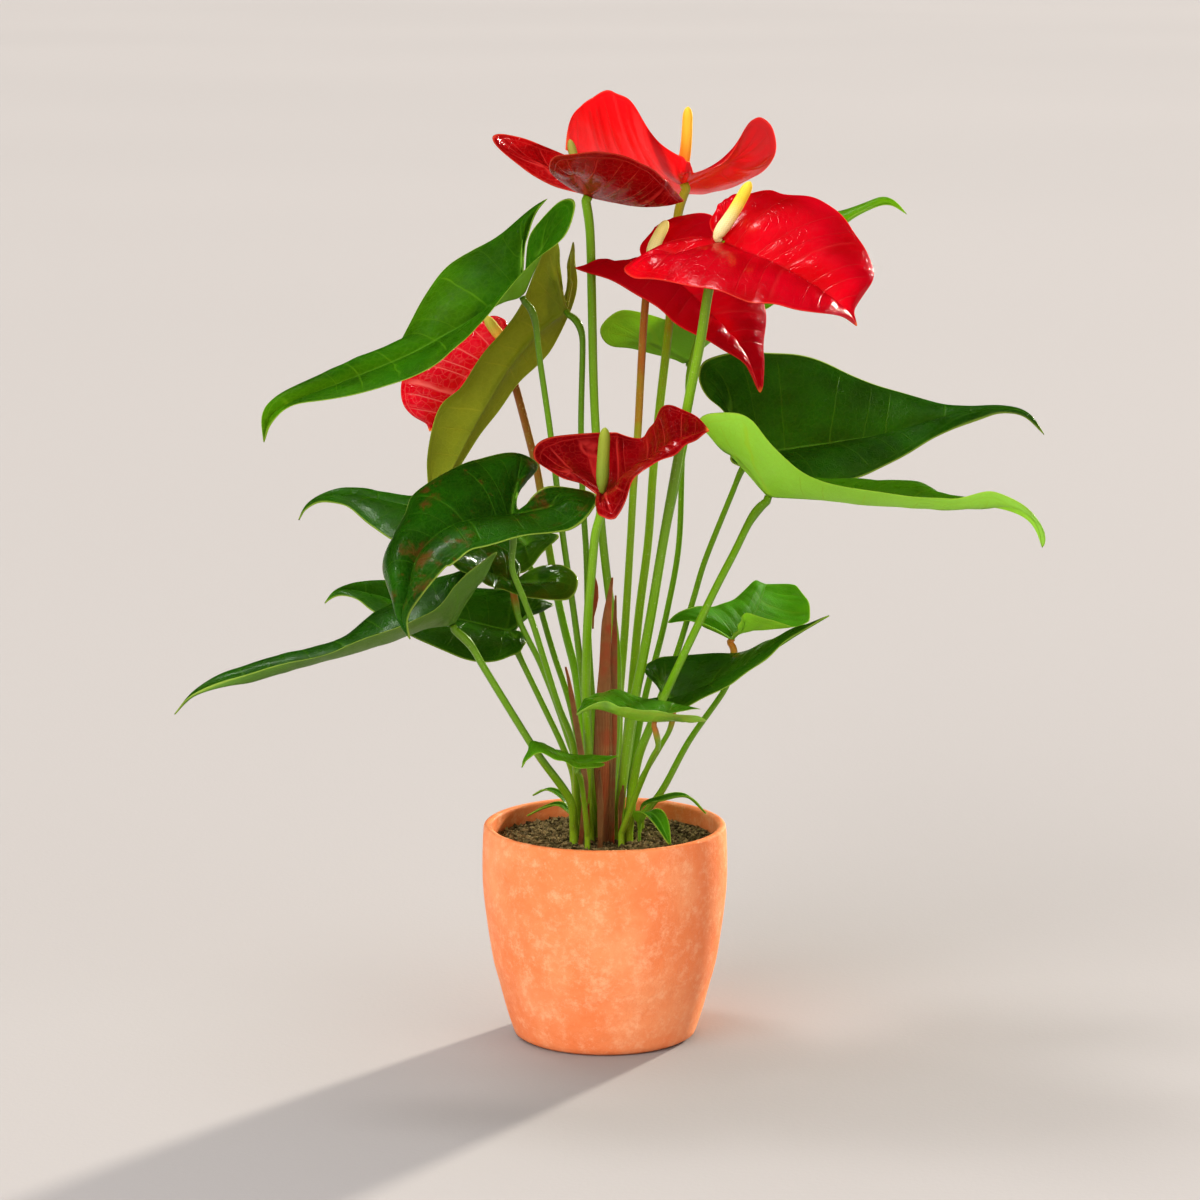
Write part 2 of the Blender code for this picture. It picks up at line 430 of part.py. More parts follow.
def sheet_object(name, verts, triangles, thickness, colour, roughness):
    """A thin shell: an open surface in millimetres, given its thickness by Solidify."""
    mesh = bpy.data.meshes.new(name)
    mesh.from_pydata([tuple(float(c) * MM for c in v) for v in verts], [], triangles)
    mesh.shade_smooth()
    thing = place_node(name, mesh, colour, roughness)
    shell = thing.modifiers.new("thickness", "SOLIDIFY")
    shell.thickness = thickness * MM
    shell.offset = 0
    return thing


def turned_object(name, profile, colour, sides):
    """A solid of revolution: a (radius, height) line from the axis, down its outside, to the axis."""
    mesh = bpy.data.meshes.new(name)
    steps = [(k, k + 1) for k in range(len(profile) - 1)]
    mesh.from_pydata([(radius * MM, 0, height * MM) for radius, height in profile], steps, [])
    thing = place_node(name, mesh, colour, 0.7)
    turn = thing.modifiers.new("turn", "SCREW")
    turn.steps = turn.render_steps = sides
    turn.use_merge_vertices = True
    turn.merge_threshold = 0.00005
    turn.use_smooth_shade = True
    return thing


def pot_inner_radius(height):
    """Inside radius of the pot at a height."""
    heights = [z for z, _ in POT_OUTSIDE]
    radii = [r for _, r in POT_OUTSIDE]
    return float(np.interp(height, heights, radii)) - POT_WALL


def build_pot():
    """The terracotta pot: rounded foot, swelling wall, soft lip and a closed floor."""
    lip = POT_OUTSIDE[-1][1] - POT_WALL / 2
    floor = [(0, POT_FLOOR), (pot_inner_radius(POT_FLOOR) - 3, POT_FLOOR)]
    inside = [(pot_inner_radius(z), z) for z in (11, 20, 35, 55, 75, 95, 108, 117.4)]
    rim = [(lip - 1.2, POT_HEIGHT - 0.2), (lip, POT_HEIGHT), (lip + 1.2, POT_HEIGHT - 0.2)]
    outside = [(radius, height) for height, radius in reversed(POT_OUTSIDE)]
    return turned_object("pot", floor + inside + rim + outside + [(0, 0)], (0.90, 0.36, 0.14), POT_SIDES)


def build_soil(holes):
    """The soil plug with one plain round hole for every stalk."""
    levels = (SOIL_EDGE_HEIGHT, 108, 95, 75, 55, 35, 20, 11)
    side = [(pot_inner_radius(z) - SOIL_GAP, z) for z in levels]
    foot = [(side[-1][0] - 4, POT_FLOOR + SOIL_GAP), (0, POT_FLOOR + SOIL_GAP)]
    soil = turned_object("soil", SOIL_TOP + side + foot, (0.10, 0.07, 0.04), POT_SIDES // 2)
    cut = soil.modifiers.new("holes", "BOOLEAN")
    cut.operation = "DIFFERENCE"
    cut.solver = "EXACT"
    cut.object = drills(holes)


def drills(holes):
    """One upright round cutter for every (x, y, radius) in the list, all in one object."""
    work = bmesh.new()
    for x, y, radius in holes:
        reach = (radius + HOLE_CLEARANCE) / math.cos(math.pi / STALK_SIDES) * MM
        middle = Matrix.Translation((x * MM, y * MM, (HOLE_DEPTH_LEVEL + 10) * MM))
        bmesh.ops.create_cone(work, cap_ends=True, segments=STALK_SIDES, radius1=reach, radius2=reach,
                              depth=20 * MM, matrix=middle)
    mesh = bpy.data.meshes.new("drills")
    work.to_mesh(mesh)
    work.free()
    cutter = bpy.data.objects.new("drills", mesh)
    cutter.hide_render = True
    cutter.display_type = "WIRE"
    bpy.data.collections[CUTTERS].objects.link(cutter)
    return cutter


def lobe_turn(edge, start, ahead):
    """Share of the edge's length, from the notch, that lies behind the stalk."""
    back = (edge - start) @ ahead
    behind = [i for i, b in enumerate(back) if b <= 0]
    return min(max((behind[-1] if behind else 0) / (len(edge) - 1), 0.12), 0.62)


def rib_ends(edge, spine, first):
    """Points of the edge that the midrib's ribs reach, each a little ahead of its foot."""
    ends, last = [], len(edge) - 1
    for k in range(1, len(spine) - 1):
        ahead = spine[k + 1] - spine[k - 1]
        ahead /= np.linalg.norm(ahead)
        slant = 0.4 * min(1, k / 3)
        room = last - (len(spine) - 1 - k)
        place = min(first + 1, room)
        while place < room:
            reach = edge[place] - spine[k]
            forward = float(reach @ ahead)
            if forward >= slant * math.sqrt(max(float(reach @ reach) - forward ** 2, 0)):
                break
            place += 1
        first = place
        ends.append(place / last)
    return ends + [1.0]


def blade_sheet(shape):
    """Points and triangles of a blade's middle surface.

    Ribs run from the middle of each lobe, then from the midrib, out to the edge. `arch` lifts
    (or, below zero, sags) the left and right halves between the veins and the edge, in mm.
    """
    mid, (columns, rows), arch = shape["mid"], shape["grid"], shape["arch"]
    root = max(1, round(columns / 16))
    cap = round(columns * 5 / 16)
    fan = 2 * root + cap
    spine = even_steps(smooth_line(mid, 60), np.linspace(0, 1, columns - fan + 1) ** 1.12)
    ahead = spine[min(3, len(spine) - 1)] - spine[0]
    ahead /= np.linalg.norm(ahead)
    verts, grid, bulge = [spine[0]], {}, {}
    spine_ids = [0]
    for place in spine[1:]:
        spine_ids.append(len(verts))
        verts.append(place)
    for side, lift in (("left", arch[0]), ("right", arch[1])):
        edge = smooth_line(shape[side] + [mid[-1]], 200)
        turn = lobe_turn(edge, spine[0], ahead)
        heart = (edge[:int(turn * 200) + 1].mean(axis=0) * 2 + spine[0]) / 3
        edge = even_steps(edge, np.concatenate([
            np.linspace(0, 0.22 * turn, root + 1), np.linspace(0.22 * turn, 0.82 * turn, cap + 1)[1:],
            np.linspace(0.82 * turn, turn, root + 1)[1:], rib_ends(edge, spine, int(turn * 200))]))
        feet = [0]
        for k in range(1, root + 1):
            feet.append(len(verts))
            verts.append(spine[0] + (heart - spine[0]) * k / root)
        feet = feet + [feet[-1]] * (cap - 1) + feet[::-1] + spine_ids[1:]
        for k in range(columns + 1):
            foot = verts[feet[k]]
            grid[side, k, 0] = feet[k]
            ease = min(1, 0.25 + k / fan) * min(1, (columns - k) / 3)
            for j in range(1, rows + 1):
                w = j / rows
                if k == columns:
                    grid[side, k, j] = spine_ids[-1]
                elif k == 0 and side == "right":
                    grid[side, k, j] = grid["left", k, j]
                else:
                    grid[side, k, j] = len(verts)
                    verts.append(foot + (edge[k] - foot) * w)
                    if k and j < rows:
                        bulge[len(verts) - 1] = lift * 4 * w * (1 - w) * ease
    triangles = []
    for side in ("left", "right"):
        for k in range(columns):
            near = [grid[side, k, j] for j in range(rows + 1)]
            far = [grid[side, k + 1, j] for j in range(rows + 1)]
            for j in range(rows):
                for a, b, c in ((near[j], near[j + 1], far[j + 1]), (near[j], far[j + 1], far[j])):
                    if len({a, b, c}) == 3:
                        triangles.append((a, b, c) if side == "right" else (a, c, b))
    fixed = set(spine_ids) | {point for (_, k, j), point in grid.items() if k == 0 or k > fan or j == rows}
    verts = relaxed(np.array(verts), triangles, fixed)
    lifts = np.zeros(len(verts))
    for i, amount in bulge.items():
        lifts[i] = amount
    verts = verts + sheet_normals(verts, triangles) * lifts[:, None]
    return verts, triangles


def relaxed(verts, triangles, fixed, rounds=4):
    """Lets the free points settle between their neighbours, like a stretched film."""
    pairs = sorted({(a, b) for t in triangles for a, b in zip(t, t[1:] + t[:1])}
                   | {(b, a) for t in triangles for a, b in zip(t, t[1:] + t[:1])})
    one, other = np.array(pairs).T
    count = np.bincount(one, minlength=len(verts))[:, None]
    free = np.array([i not in fixed for i in range(len(verts))])
    for _ in range(rounds):
        total = np.zeros_like(verts)
        np.add.at(total, one, verts[other])
        verts = np.where(free[:, None], total / count, verts)
    return verts


def sheet_normals(verts, triangles):
    """Upper-side direction at each point, weighted by triangle size."""
    normals = np.zeros_like(verts)
    for a, b, c in triangles:
        way = np.cross(verts[b] - verts[a], verts[c] - verts[a])
        for i in (a, b, c):
            normals[i] += way
    return normals / np.maximum(np.linalg.norm(normals, axis=1, keepdims=True), 1e-9)


def build_blade(name, shape, colour):
    """A leaf blade or a spathe as one thin shell."""
    verts, triangles = blade_sheet(shape)
    return sheet_object(name, verts, triangles, BLADE_THICKNESS, colour, 0.35)


def taper(share, radii):
    """Radius of a stalk at a share of its length: top, middle and foot radius."""
    return float(np.interp(share, (0, 0.5, 0.93, 1), (radii[0], radii[1], radii[2], radii[2])))


def tube_object(name, line, radii, colour):
    """A round stalk along a line, made by a bevelled curve with closed ends."""
    curve = bpy.data.curves.new(name, "CURVE")
    curve.dimensions = "3D"
    curve.bevel_depth = MM
    curve.bevel_resolution = 2
    curve.use_fill_caps = True
    spline = curve.splines.new("POLY")
    spline.points.add(len(line) - 1)
    for point, place, radius in zip(spline.points, line, radii):
        point.co = (*(float(c) * MM for c in place), 1)
        point.radius = radius
    return place_node(name, curve, colour, 0.45)


def attachment(shape):
    """Where a blade meets its stalk and which way its upper side faces there."""
    verts, triangles = blade_sheet(shape)
    return verts[0], sheet_normals(verts, triangles)[0]


def build_stalk(name, shape):
    """The petiole or peduncle under a blade, a hair's gap below it, its foot upright in the soil."""
    place, up = attachment(shape)
    top = place - up * (BLADE_THICKNESS / 2 + JOINT_GAP)
    neck = top - up * 2.4
    x, y = shape["foot"]
    path = smooth_line([neck] + shape["stalk"] + [(x, y, SOIL_CLEAR_LEVEL)], STALK_STEPS)
    line = np.vstack([top, path, (x, y, STALK_FOOT_LEVEL)])
    shares = np.linspace(0, 1, len(path))
    radii = [0.6] + [taper(share, shape["radii"]) for share in shares] + [shape["radii"][2]]
    return tube_object(name, line, radii, STALK_GREEN)


def build_spadix(name, flower):
    """The finger-like flower spike standing on the spathe, narrowed where it meets it."""
    place, up = attachment(flower)
    base = place + up * (BLADE_THICKNESS / 2 + 2 * JOINT_GAP)
    line = smooth_line([base, base + up * 2.5] + flower["spadix"], 40)
    length = np.linalg.norm(np.diff(line, axis=0), axis=1).sum()
    neck = [mark * min(1, length / 30) for mark in (0, 2.0, 4.5, 8)]
    middle = [0.35 * length, 0.55 * length, 0.7 * length]
    marks = neck + middle + [length - 5, length - 2, length - 0.6, length]
    shares = (0.1, 0.28, 0.55, 0.9, 1.0, 0.99, 0.95, 0.86, 0.70, 0.46, 0.2)
    line = even_steps(line, [mark / length for mark in marks])
    return tube_object(name, line, [flower["spadix_radius"] * share for share in shares], SPADIX_YELLOW)


def strip_object(name, line, half_widths, lift, thickness, colour):
    """A narrow thin strip along a line, dished a little across."""
    verts, triangles = [], []
    last = len(line) - 1
    side = np.cross(line[last] - line[0], (0, 0, 1))
    side = side / np.linalg.norm(side)
    for k, (place, width) in enumerate(zip(line, half_widths)):
        up = np.cross(side, line[min(k + 1, last)] - line[max(k - 1, 0)])
        up = up / np.linalg.norm(up) * lift * width
        verts += [place - side * width + up, place, place + side * width + up]
        if k < last:
            for a in (3 * k, 3 * k + 1):
                triangles += [(a, a + 1, a + 4), (a, a + 4, a + 3)]
    return sheet_object(name, np.array(verts), triangles, thickness, colour, 0.4)


def build_low_leaf(name, leaf):
    """A small young leaf low at the crown, blade and stalk in one."""
    x, y = leaf["foot"]
    line = smooth_line([(x, y, SOIL_CLEAR_LEVEL)] + leaf["mid"], 9)
    line = np.vstack([(x, y, STALK_FOOT_LEVEL + 3), line])
    widths = [LOW_LEAF_STALK, LOW_LEAF_STALK]
    for k in range(1, 10):
        bow = math.sin(math.pi * (max(k / 9 - 0.15, 0) / 0.85) ** 0.8)
        widths.append(max(LOW_LEAF_STALK + (leaf["half_width"] - LOW_LEAF_STALK) * bow, 0.5))
    return strip_object(name, line, widths, 0.25, LOW_LEAF_THICKNESS, LEAF_GREEN)


def build_sheath(name, sheath):
    """A dry papery sheath standing among the stalks."""
    line = smooth_line(sheath["line"][1:], 2 * len(sheath["line"]) - 3)
    line = np.vstack([sheath["line"][0], line])
    along = np.linspace(0, 1, len(line))
    widths = np.interp(along, np.linspace(0, 1, len(sheath["half_widths"])), sheath["half_widths"])
    return strip_object(name, line, widths, -0.3, SHEATH_THICKNESS, SHEATH_BROWN)


def stalk_holes():
    """Place and radius of every hole in the soil."""
    holes = [(*shape["foot"], shape["radii"][2]) for shape in (*LEAVES.values(), *FLOWERS.values())]
    holes += [(*leaf["foot"], LOW_LEAF_STALK + 0.4) for leaf in LOW_LEAVES.values()]
    for sheath in SHEATHS.values():
        x, y, _ = sheath["line"][0]
        holes.append((x, y, sheath["half_widths"][0] + 0.6))
    return holes


def build_plant():
    """Every node of the plant and its pot."""
    fresh_scene()
    build_pot()
    build_soil(stalk_holes())
    for name, leaf in LEAVES.items():
        build_blade(name, leaf, LEAF_GREEN)
        build_stalk(name.replace("leaf", "petiole"), leaf)
    for name, flower in FLOWERS.items():
        build_blade(name, flower, SPATHE_RED)
        build_stalk(name.replace("spathe", "peduncle"), flower)
        build_spadix(name.replace("spathe", "spadix"), flower)
    for name, leaf in LOW_LEAVES.items():
        build_low_leaf(name, leaf)
    for name, sheath in SHEATHS.items():
        build_sheath(name, sheath)


build_plant()
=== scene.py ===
"""Looks of a red anthurium growing in a terracotta pot.

The blades, stalks and strips repeat the numbers of the part, in millimetres, and are laid out
here on a much finer grid. Every blade is given by its midrib and by its left and right edges,
as seen from its upper face with the tip pointing up.
"""

import math
import random

import bpy
import numpy as np
from mathutils import Euler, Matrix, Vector


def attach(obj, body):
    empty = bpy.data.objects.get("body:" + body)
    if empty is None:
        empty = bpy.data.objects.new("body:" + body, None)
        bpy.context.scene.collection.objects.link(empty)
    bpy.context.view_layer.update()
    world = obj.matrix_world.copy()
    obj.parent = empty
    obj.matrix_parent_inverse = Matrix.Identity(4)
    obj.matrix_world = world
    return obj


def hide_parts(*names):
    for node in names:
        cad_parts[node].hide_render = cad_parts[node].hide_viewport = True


MM = 0.001

# pot: height and outside radius, then the wall
POT_OUTSIDE = [(0, 48.6), (1.6, 50.2), (14, 54.3), (28, 58.0), (42, 61.7), (56, 64.0), (70, 65.9),
               (84, 67.3), (97, 67.6), (110, 67.3), (117.4, 66.8)]
POT_FOOT = [(0, 0), (40, 0), (47.4, 0.1)]
POT_HEIGHT = 119
POT_WALL = 4.5
POT_LIP_RISE = 1.7
POT_FLOOR = 7
POT_SIDES = 128

# soil: distance from the middle and height of its surface, then lumps and crumbs
SOIL_TOP = [(0, 113.4), (18, 113.0), (34, 111.6), (50, 110.2), (62.5, 109.5)]
SOIL_EDGE_HEIGHT = 109.5
SOIL_RINGS = 34
SOIL_SIDES = 120
SOIL_SINK = 1.3
CRUMBS = 2600

# blades: BLADE_COLUMNS ribs to each side, with points at RIB_SHARES of their length;
# of these ribs, ROOT_RIBS run along the lobe's middle line, CAP_RIBS fan out at its end
BLADE_THICKNESS = 0.7
BLADE_COLUMNS = 72
ROOT_RIBS = max(1, round(BLADE_COLUMNS / 16))
CAP_RIBS = round(BLADE_COLUMNS * 5 / 16)
LOBE_RIBS = 2 * ROOT_RIBS + CAP_RIBS
RIB_SHARES = (0, 0.035, 0.08, 0.15, 0.25, 0.37, 0.50, 0.64, 0.78, 0.91, 1.0)
ROWS = len(RIB_SHARES) - 1
EASE_RIBS = 3 * BLADE_COLUMNS / 16
EDGE_STEPS = 900
SETTLE_ROUNDS = 40
VEIN_RIBS = 5.1

# stalks
STALK_FOOT_LEVEL = 106.0
SOIL_CLEAR_LEVEL = 118
STALK_SIDES = 12
STALK_STEPS = 58
STALK_RADII = (1.6, 1.7, 2.0)
KNEE_REACH = 7
BEND_ROUNDS = 16

# spikes: knobs round them and the rise of one turn of knobs
KNOBS = 13
KNOB_RISE = 1.45
KNOB_DEPTH = 0.42

# strips: columns across, thickness
STRIP_COLUMNS = 8
LOW_LEAF_STALK = 0.9
LOW_LEAF_THICKNESS = 0.9
SHEATH_THICKNESS = 0.8

# camera: the photograph's viewing place and angle
CAMERA_PLACE = (-2.65, -2151.2, 627.1)
CAMERA_PITCH = 10.1
CAMERA_LENS = 120

# light: the way the low sun travels; half the floor's width, in metres
KEY_WAY = (-0.57, -0.82, -0.235)
FLOOR_REACH = 40.0

# leaves: the notch, the midrib, and each edge from the notch to the tip, then the stalk from the
# top down, the lift of each half, the stalk's foot and, where they aren't STALK_RADII, its radii
# at the top, in the middle and at the foot
LEAVES = {
    "leaf_1": {
        "notch": (-43, -28, 420),
        "mid": [(-44, -32, 413), (-56, -36, 410), (-71, -42, 401), (-87, -52, 393), (-104, -64, 385),
            (-135, -82, 374), (-158, -92, 366), (-173, -95, 358), (-177, -95, 343)],
        "left": [(-42, -30, 429), (-41, -26, 443), (-34, -32, 454), (-25, -36, 464), (-17, -42, 466),
            (-15, -50, 461), (-22, -62, 447), (-34, -70, 438), (-44, -76, 429), (-54, -84, 418),
            (-68, -92, 400), (-80, -96, 391), (-91, -99, 383), (-109, -103, 375), (-143, -106, 367),
            (-163, -102, 363), (-174, -97, 353)],
        "right": [(-44, -20, 427), (-43, -14, 436), (-41, -6, 446), (-36, 0, 458), (-30, 4, 463),
            (-47, 8, 451), (-61, 7, 440), (-81, 1, 430), (-89, -5, 423), (-97, -15, 411),
            (-106, -32, 394), (-112, -42, 388), (-134, -64, 381), (-156, -80, 373), (-171, -90, 367),
            (-178, -95, 359)],
        "stalk": [(-40, -31, 409), (-37, -30, 400), (-35, -29, 381), (-29, -27, 338), (-23, -24, 286),
            (-16, -18, 234), (-11, -10, 189), (-7, -5, 144)],
        "arch": (2, 5), "foot": (-4.5, -1)},
    "leaf_2": {
        "notch": (-21, 11, 405),
        "mid": [(-21, 10, 401), (-35, 12, 390), (-49, 14, 374), (-63, 14, 352), (-78, 10, 325),
            (-87, 4, 307), (-93, -2, 294), (-97, -6, 283)],
        "left": [(-23, 9, 414), (-24, 8, 428), (-26, 6, 440), (-32, 5, 437), (-38, 5, 423), (-45, 6, 406),
            (-56, 8, 390), (-63, 8, 382), (-69, 8, 374), (-79, 8, 359), (-86, 7, 354), (-91, 7, 347),
            (-95, 5, 334), (-97, 3, 320), (-96, 0, 307), (-96, -4, 293)],
        "right": [(-19, 16, 414), (-18, 22, 427), (-18, 26, 438), (-16, 32, 428), (-15, 33, 413),
            (-17, 30, 402), (-21, 29, 393), (-27, 28, 383), (-32, 28, 375), (-38, 28, 368),
            (-49, 27, 357), (-60, 25, 342), (-71, 20, 328), (-80, 15, 315), (-87, 7, 301), (-92, 0, 289)],
        "stalk": [(-17, 6, 399), (-13, 4, 393), (-12, 5, 384), (-13, 10, 337), (-12, 13, 297),
            (-10, 13, 264), (-9, 12, 219), (-6, 10, 164)],
        "arch": (3, 3), "foot": (-8, 6)},
    "leaf_3": {
        "notch": (-45, -82, 305),
        "mid": [(-49, -85, 302), (-65, -95, 303), (-79, -105, 301), (-90, -115, 295), (-97, -125, 286),
            (-100, -141, 274), (-103, -147, 262), (-99, -151, 250)],
        "left": [(-42, -84, 307), (-39, -88, 314), (-30, -88, 320), (-16, -90, 319), (-4, -94, 316),
            (-7, -106, 308), (-16, -114, 302), (-25, -120, 301), (-45, -130, 299), (-60, -137, 296),
            (-71, -142, 293), (-83, -147, 284), (-93, -149, 273), (-100, -150, 261)],
        "right": [(-46, -75, 312), (-43, -66, 317), (-35, -55, 325), (-41, -48, 330), (-54, -50, 332),
            (-67, -55, 330), (-79, -63, 326), (-94, -74, 319), (-102, -84, 313), (-104, -92, 306),
            (-109, -100, 298), (-114, -108, 289), (-115, -116, 281), (-111, -134, 273),
            (-106, -143, 261)],
        "stalk": [(-48, -84, 291), (-49, -83, 276), (-44, -80, 262), (-38, -73, 244), (-34, -66, 229),
            (-25, -48, 195), (-17, -34, 170), (-15, -18, 136)],
        "arch": (6, 7), "foot": (-12, -8.5)},
    "leaf_4": {
        "notch": (-47, 29, 277),
        "mid": [(-51, 32, 278), (-66, 36, 280), (-89, 44, 285), (-111, 52, 288), (-137, 60, 291),
            (-154, 64, 291), (-166, 66, 286), (-172, 66, 277)],
        "left": [(-36, 22, 277), (-25, 16, 278), (-29, 10, 273), (-35, 4, 268), (-44, -2, 259),
            (-57, -6, 260), (-76, -6, 264), (-98, 0, 270), (-120, 16, 276), (-136, 36, 285),
            (-145, 48, 288), (-158, 60, 289), (-167, 64, 284)],
        "right": [(-39, 38, 279), (-43, 50, 282), (-59, 62, 287), (-80, 72, 291), (-98, 76, 290),
            (-112, 76, 285), (-130, 76, 288), (-146, 72, 293), (-157, 69, 291), (-167, 68, 285)],
        "stalk": [(-46, 33, 264), (-41, 33, 256), (-35, 32, 231), (-28, 25, 208), (-19, 15, 182),
            (-12, 4, 148)],
        "arch": (4, 5), "foot": (-10.5, -1.5)},
    "leaf_5": {
        "notch": (-46, -32, 262),
        "mid": [(-49, -35, 259), (-62, -40, 265), (-73, -52, 272), (-84, -65, 278)],
        "left": [(-40, -36, 267), (-31, -38, 270), (-21, -42, 270), (-14, -50, 263), (-20, -62, 255),
            (-38, -68, 257), (-57, -70, 262), (-70, -70, 269), (-79, -67, 274)],
        "right": [(-46, -24, 267), (-51, -16, 273), (-61, -14, 277), (-73, -24, 278), (-80, -46, 277)],
        "stalk": [(-48, -36, 248), (-46, -36, 239), (-41, -35, 228), (-35, -31, 215), (-27, -25, 193),
            (-17, -16, 161), (-9, -10, 134)],
        "arch": (3, 3), "foot": (-5.5, -7.5)},
    "leaf_6": {
        "notch": (-49, -12, 229),
        "mid": [(-52, -15, 229), (-68, -15, 233), (-81, -15, 236), (-100, -13, 240), (-122, -11, 246),
            (-137, -13, 251), (-146, -17, 251), (-152, -19, 245)],
        "left": [(-46, -18, 230), (-42, -26, 227), (-46, -36, 222), (-54, -44, 219), (-64, -50, 219),
            (-77, -54, 222), (-93, -54, 229), (-107, -48, 235), (-123, -34, 243), (-135, -26, 249),
            (-144, -21, 250)],
        "right": [(-44, -2, 233), (-36, 10, 235), (-28, 20, 238), (-39, 26, 241), (-55, 28, 245),
            (-73, 28, 246), (-91, 25, 248), (-106, 19, 252), (-119, 11, 253), (-132, -1, 254),
            (-143, -13, 253)],
        "stalk": [(-49, -15, 221), (-45, -14, 212), (-34, -11, 188), (-23, -6, 163), (-17, -2, 144)],
        "arch": (4, 5), "foot": (-16, -2)},
    "leaf_7": {
        "notch": (-78, -84, 251),
        "mid": [(-80, -86, 246), (-95, -90, 245), (-113, -94, 239), (-144, -99, 232), (-165, -102, 226),
            (-183, -103, 220), (-196, -103, 218), (-210, -102, 214), (-218, -101, 209), (-226, -99, 200)],
        "left": [(-74, -90, 259), (-69, -98, 267), (-63, -106, 278), (-55, -112, 289), (-68, -120, 283),
            (-77, -124, 274), (-85, -126, 263), (-95, -127, 258), (-108, -127, 252), (-126, -126, 245),
            (-142, -124, 239), (-163, -118, 232), (-182, -112, 226), (-198, -106, 220), (-210, -103, 215),
            (-219, -102, 210)],
        "right": [(-79, -76, 260), (-76, -68, 265), (-72, -60, 270), (-80, -56, 269), (-89, -54, 266),
            (-98, -54, 262), (-108, -56, 257), (-116, -58, 251), (-122, -62, 249), (-130, -66, 242),
            (-138, -70, 236), (-155, -78, 230), (-174, -84, 227), (-194, -90, 223), (-203, -94, 220),
            (-212, -98, 215), (-219, -100, 209)],
        "stalk": [(-71, -83, 235), (-63, -78, 220), (-45, -62, 186), (-35, -50, 167), (-19, -30, 139)],
        "arch": (-3, 4), "foot": (-17, -15), "radii": (1.9, 2.0, 2.4)},
    "leaf_8": {
        "notch": (80, 52, 319),
        "mid": [(84, 55, 316), (99, 58, 318), (123, 62, 321), (147, 66, 324), (166, 70, 327),
            (199, 76, 334), (222, 80, 338), (237, 82, 336), (248, 82, 323)],
        "left": [(73, 48, 331), (64, 50, 342), (57, 54, 349), (52, 62, 358), (54, 72, 365), (60, 80, 368),
            (76, 90, 370), (90, 96, 369), (108, 99, 368), (122, 99, 364), (141, 97, 355), (168, 93, 346),
            (189, 90, 341), (208, 87, 339), (225, 84, 339), (239, 83, 335)],
        "right": [(74, 42, 319), (69, 34, 318), (73, 26, 314), (88, 18, 311), (104, 15, 308),
            (119, 16, 307), (130, 18, 307), (143, 22, 309), (164, 38, 317), (187, 56, 327),
            (198, 66, 331), (212, 73, 334), (223, 78, 336), (236, 81, 334)],
        "stalk": [(80, 54, 313), (76, 52, 308), (71, 49, 296), (56, 40, 260), (50, 35, 241),
            (40, 27, 209), (28, 20, 178), (17, 14, 146)],
        "arch": (3, 5), "foot": (13, 4)},
    "leaf_9": {
        "notch": (85, -42, 311),
        "mid": [(87, -45, 308), (108, -52, 308), (132, -62, 308), (156, -70, 308), (183, -77, 307),
            (199, -80, 307), (210, -83, 309), (221, -85, 305), (227, -85, 297), (229, -84, 286)],
        "left": [(84, -26, 315), (88, -8, 318), (101, 2, 313), (122, 0, 310), (141, -8, 312),
            (154, -18, 312), (168, -30, 313), (175, -42, 312), (182, -55, 309), (195, -66, 307),
            (209, -76, 306), (220, -81, 301), (226, -83, 294)],
        "right": [(75, -50, 323), (66, -58, 336), (57, -62, 343), (49, -66, 350), (52, -72, 355),
            (62, -80, 358), (71, -86, 358), (77, -90, 355), (83, -93, 346), (92, -95, 337),
            (103, -98, 329), (118, -100, 323), (135, -100, 319), (153, -98, 317), (173, -95, 315),
            (184, -92, 314), (199, -90, 318), (209, -88, 315), (219, -86, 309), (227, -85, 301),
            (231, -84, 292)],
        "stalk": [(83, -46, 303), (77, -48, 295), (69, -51, 279), (59, -54, 260), (45, -57, 231),
            (33, -57, 205), (24, -50, 183), (17, -36, 159)],
        "arch": (4, -4), "foot": (13, -14), "radii": (2.0, 2.2, 2.6)},
    "leaf_10": {
        "notch": (70, 31, 216),
        "mid": [(71, 34, 216), (78, 50, 221), (85, 66, 226), (89, 84, 231), (93, 112, 233)],
        "left": [(61, 22, 223), (47, 12, 231), (34, 6, 229), (40, 16, 234), (52, 32, 235), (62, 48, 232),
            (73, 66, 233), (80, 82, 236), (86, 96, 238)],
        "right": [(74, 29, 224), (78, 30, 232), (84, 32, 230), (93, 40, 225), (104, 52, 220),
            (114, 70, 218), (117, 84, 220), (116, 100, 226), (111, 112, 232), (104, 118, 236),
            (99, 118, 236)],
        "stalk": [(72, 34, 209), (70, 34, 197), (66, 33, 186), (47, 29, 159), (32, 24, 132)],
        "arch": (2, -3), "foot": (20, 17)},
    "leaf_11": {
        "notch": (33, -20, 190),
        "mid": [(36, -22, 192), (52, -26, 199), (73, -30, 210), (89, -32, 221), (105, -34, 232),
            (121, -36, 242)],
        "left": [(32, -12, 194), (29, -6, 197), (25, -2, 200), (21, 2, 206), (28, 10, 209), (38, 18, 210),
            (57, 24, 210), (71, 20, 210), (79, 12, 214), (88, 4, 220), (98, -8, 227), (111, -26, 236)],
        "right": [(30, -31, 195), (23, -36, 196), (21, -40, 195), (24, -44, 193), (31, -46, 192),
            (39, -48, 192), (46, -50, 195), (55, -51, 200), (69, -51, 208), (83, -48, 218),
            (97, -43, 228), (111, -38, 237)],
        "stalk": [(37, -21, 183), (35, -20, 175), (30, -16, 165), (20, -11, 146)],
        "arch": (2, 3), "foot": (9, -2), "radii": (1.3, 1.5, 1.8)},
    "leaf_12": {
        "notch": (28, -96, 198),
        "mid": [(26, -97, 197), (18, -100, 198), (9, -103, 201), (-1, -107, 205), (-8, -110, 206),
            (-15, -112, 203)],
